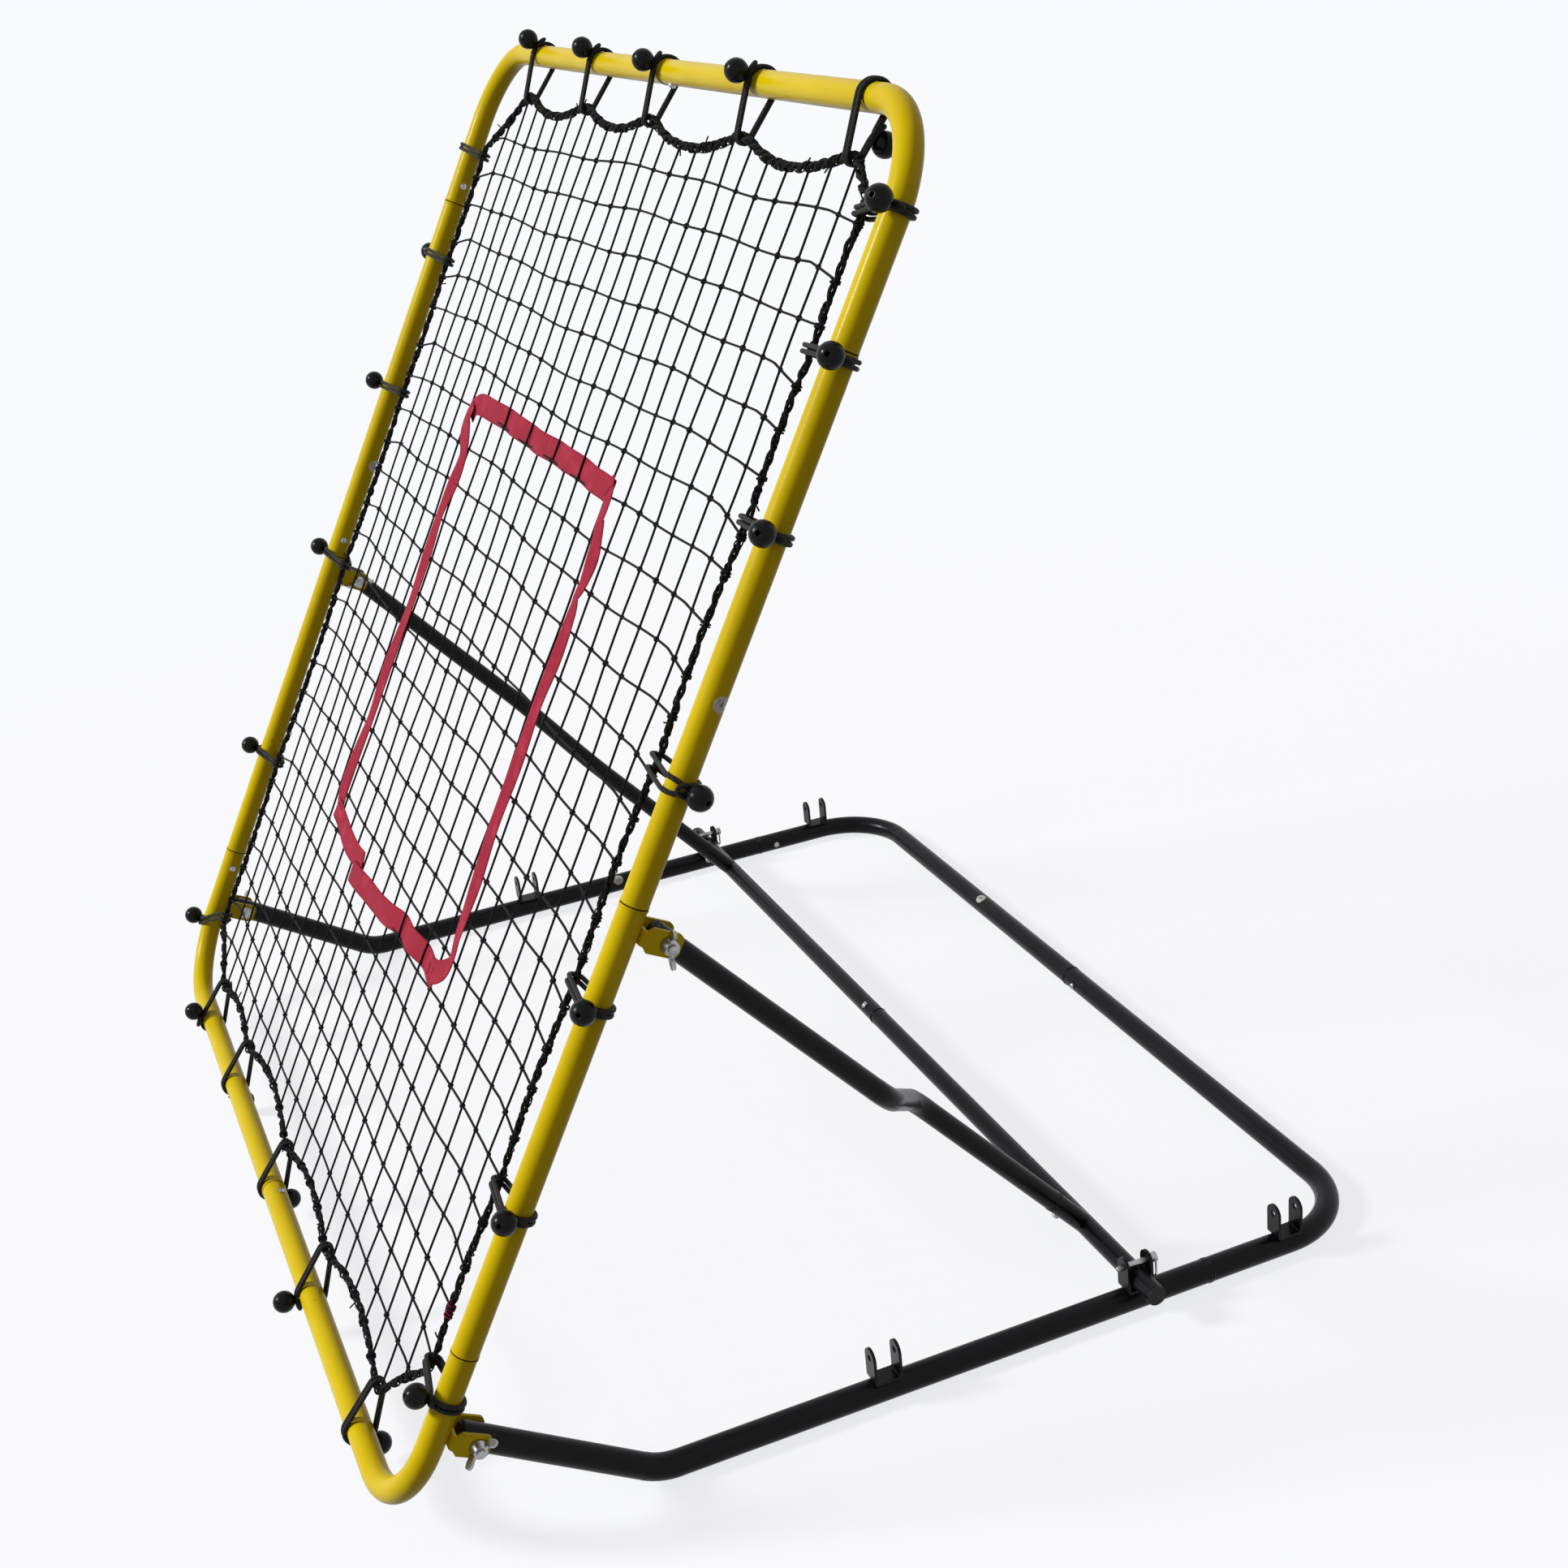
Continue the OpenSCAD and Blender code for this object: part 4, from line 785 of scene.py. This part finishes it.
def makeSeams(s):
    f, stay, across = frameSettings, staySettings, (1, 0, 0)
    sides = (-f["halfWidth"], f["halfWidth"])
    onTube = [onFrame((x, v, 0)) / millimetre for x in sides for v in s["heights"]]
    onBars = [onFrame((0, v, 0)) / millimetre for v in (0, f["height"])]
    # The second ring is painted shade: a dark ring laid in each seam's groove
    for name, shape, finish in (("frameSeams", "lip", yellowCoat), ("frameSeamShade", "shadeRing", seamShadeCoat)):
        rings = [seamRings(shape, onTube, f["along"], f["tube"]), seamRings(shape, onBars, across, f["tube"])]
        makePiece(name, rings, "net_frame", finish)
    ground = [(x, s["groundSide"], f["tube"]) for x in sides]
    rear = [(0, s["groundRear"], f["tube"])]
    rings = [seamRings("lip", ground, (0, 1, 0), f["tube"]), seamRings("lip", rear, across, f["tube"])]
    makePiece("baseSeams", rings, "base", blackCoat)
    armX = abs(boxCentre("button_stay_right")[0])
    pivot, down = np.array(stay["pivot"]), np.array(stay["down"])
    arms = [pivot + s["arm"] * down + [x, 0, 0] for x in (-armX, armX)]
    bar = [pivot + s["bar"] * down]
    rings = [seamRings("lip", arms, stay["down"], stay["tube"]), seamRings("lip", bar, across, stay["tube"])]
    makePiece("staySeams", rings, "stay", blackCoat)


makeSeams(seamSettings)

# Assembly stickers with plain numbers: body, point on the tube's centre line, the tube's way, the way that the
# angle is counted from, the angle, and the digit
stickers = [
    ("net_frame", onFrame((600, 787, 0)) / millimetre, "along", (1, 0, 0), 20, "4"),
    ("net_frame", onFrame((-600, 732, 0)) / millimetre, "along", (1, 0, 0), 34, "3"),
    ("net_frame", onFrame((-600, 366, 0)) / millimetre, "along", (1, 0, 0), 86, "2"),
    ("base", np.array((-600, 107, 12.5)), "back", (1, 0, 0), -42, "5"),
    ("base", np.array((-240, 522.175, 12.5)), "across", (0, -1, 0), -68, "6")]
tubeWays = {"along": frameSettings["along"], "back": (0, 1, 0), "across": (1, 0, 0)}
# Disc and ink are heights over the tube; disc has its radii with them
stickerSettings = {"disc": [(7.4, -0.3), (7.4, 0.1), (7.2, 0.16), (5.5, 0.17), (3, 0.17), (0.02, 0.17)],
                   "sides": 36, "ink": (0.26, 0.26, 0.1, 0.1), "scale": 0.9, "halfStroke": 0.5, "samples": 5}
# Strokes of plain digits in a box 4 wide and 6 high
digits = {"2": [(-1.8, 1.7), (-1.2, 2.7), (0, 3), (1.3, 2.6), (1.8, 1.5), (1.1, 0.1), (-1.9, -3), (2, -3)],
          "3": [(-1.8, 2.2), (-0.8, 3), (0.8, 3), (1.7, 2), (1.2, 0.6), (0, 0.2), (1.3, -0.3), (1.9, -1.6),
                (1, -2.8), (-0.8, -3), (-1.9, -2.1)],
          "4": [(1.9, -1.1), (-2, -1.1), (0.9, 3), (0.9, -3)],
          "5": [(1.7, 3), (-1.4, 3), (-1.7, 0.4), (0, 0.9), (1.5, 0.2), (1.8, -1.3), (0.9, -2.8), (-0.9, -3),
                (-1.9, -2.2)],
          "6": [(1.5, 2.5), (0, 3), (-1.4, 1.6), (-1.9, -0.9), (-1.1, -2.7), (0.4, -3), (1.7, -2), (1.5, -0.3),
                (0.2, 0.3), (-1.5, -0.7)]}


# Flat sticker coordinates (x round the tube, y along it, h over it) bent round it:
# centre + y * axis + (radius + h) * (cos * first + sin * second), at the angle plus x / radius
def bendRound(flat, centre, axis, first, angle):
    axis, first = np.array(axis, float), np.array(first, float)
    second = np.cross(axis, first)
    radius = frameSettings["tube"]
    a = math.radians(angle) + flat[..., :1] / radius
    out = np.cos(a) * first + np.sin(a) * second
    return (centre + flat[..., 1:2] * axis + (radius + flat[..., 2:3]) * out) * millimetre


# Paper: radius * (cos, sin) for each ring of the disc. Ink: the digit's line with half a stroke to each side
def makeStickers(s):
    r, h = np.array(s["disc"])[:, :, None].transpose(1, 0, 2)
    a = np.linspace(0, 2 * np.pi, s["sides"], endpoint=False)[None]
    disc = np.stack([r * np.cos(a), r * np.sin(a), h + 0 * a], -1)
    t = np.linspace(0, 1, s["samples"] + 1)[:-1, None]
    byBody = {}
    for body, centre, way, first, angle, digit in stickers:
        stroke = np.array(digits[digit], float) * s["scale"]
        line = np.concatenate([p + (q - p) * t for p, q in zip(stroke[:-1], stroke[1:])] + [stroke[-1:]])
        across = unit(np.gradient(line, axis=0))[:, ::-1] * [1, -1] * s["halfStroke"]
        ink = np.stack([line - across, line + across, line + across, line - across], 1)
        height = np.broadcast_to(np.array(s["ink"])[None, :, None], ink[..., :1].shape)
        discs, marks = byBody.setdefault(body, ([], []))
        for part, flat in ((discs, disc), (marks, np.concatenate([ink, height], -1))):
            part.append(grid(bendRound(flat, centre, tubeWays[way], first, angle)[None]))
    for body, (discs, marks) in byBody.items():
        makePiece("stickerPaper_" + body, discs, body, stickerPaper)
        makePiece("stickerInk_" + body, marks, body, stickerInk)


makeStickers(stickerSettings)

# Floor, background and lamps
paper = (0.947, 0.956, 0.991)
sunSettings = {"from": (-0.34, -0.9, 0.6), "strength": 2.35, "angle": 12}
lampSettings = {"from": (-1.0, -4.0, 3.0), "at": (0, 0, 0.6), "size": 0.7, "power": 25}
# Floor: half its side and its drop below the ground in metres, its glow to the camera, its lit tones that fade out
# between two distances, and what it gives back to the object
floorSettings = {"half": 60, "drop": 0.0005, "glow": 0.815, "lit": (0.27, 0.28), "fade": (1.6, 3.2),
                 "back": (0.16, 0.16, 0.165)}
fillSettings = {"tint": (1.0, 0.89, 0.77), "strength": 0.22}
black = (0.0, 0.0, 0.0)


def aim(holder, direction):
    holder.rotation_euler = Vector(direction).to_track_quat("-Z", "Y").to_euler()
    bpy.context.scene.collection.objects.link(holder)


def makeFloor(s):
    f = Finish("floorPaper", Roughness=0.95, Specular_IOR_Level=0.0, Emission_Strength=1.0)
    seen = f.node("ShaderNodeLightPath")
    for kind in ("Is Glossy Ray", "Is Transmission Ray"):
        seen = seen.sum("MAXIMUM", seen, f.node("ShaderNodeLightPath", output=kind))
    glow, low, high = [tuple(share * c for c in paper) for share in (s["glow"], *s["lit"])]
    lit = f.mix(f.noise(3.0, 2.0), low, high)
    far = f.node("ShaderNodeVectorMath", {"operation": "LENGTH"}, [f.place()], output=1).rise(*s["fade"])
    material = f.show(Base_Color=f.mix(seen, s["back"], f.mix(far, lit, black)),
                      Emission_Color=f.mix(seen, black, f.mix(far, glow, paper)))
    mesh = bpy.data.meshes.new("floor")
    a = s["half"]
    mesh.from_pydata([(-a, -a, 0), (a, -a, 0), (a, a, 0), (-a, a, 0)], [], [(0, 1, 2, 3)])
    mesh.materials.append(material)
    floor = bpy.data.objects.new("floor", mesh)
    floor.location.z = -s["drop"]
    bpy.context.scene.collection.objects.link(floor)


def makeLamps(sun, lamp):
    light = bpy.data.lights.new("sun", "SUN")
    light.energy = sun["strength"]
    light.angle = math.radians(sun["angle"])
    aim(bpy.data.objects.new("sun", light), [-c for c in sun["from"]])
    light = bpy.data.lights.new("streak", "AREA")
    light.size = lamp["size"]
    light.energy = lamp["power"]
    holder = bpy.data.objects.new("streak", light)
    holder.location = lamp["from"]
    aim(holder, np.array(lamp["at"]) - np.array(lamp["from"]))


# The camera, mirrors and glass see the paper's colour; everything else is lit by the fill
def makeWorld(s):
    world = bpy.data.worlds.new("studio")
    world.use_nodes = True
    tree = world.node_tree
    tree.nodes.clear()
    ray = tree.nodes.new("ShaderNodeLightPath")
    choose = tree.nodes.new("ShaderNodeMixShader")
    output = tree.nodes.new("ShaderNodeOutputWorld")
    seen = ray.outputs["Is Camera Ray"]
    for kind in ("Is Glossy Ray", "Is Transmission Ray"):
        either = tree.nodes.new("ShaderNodeMath")
        either.operation = "MAXIMUM"
        tree.links.new(seen, either.inputs[0])
        tree.links.new(ray.outputs[kind], either.inputs[1])
        seen = either.outputs[0]
    tree.links.new(seen, choose.inputs[0])
    for slot, tint, strength in ((1, s["tint"], s["strength"]), (2, paper, 1.0)):
        glow = tree.nodes.new("ShaderNodeBackground")
        glow.inputs[0].default_value = (*tint, 1)
        glow.inputs[1].default_value = strength
        tree.links.new(glow.outputs[0], choose.inputs[slot])
    tree.links.new(choose.outputs[0], output.inputs[0])
    bpy.context.scene.world = world
    bpy.context.scene.view_settings.view_transform = "Standard"


makeFloor(floorSettings)
makeLamps(sunSettings, lampSettings)
makeWorld(fillSettings)
print("surroundings made")
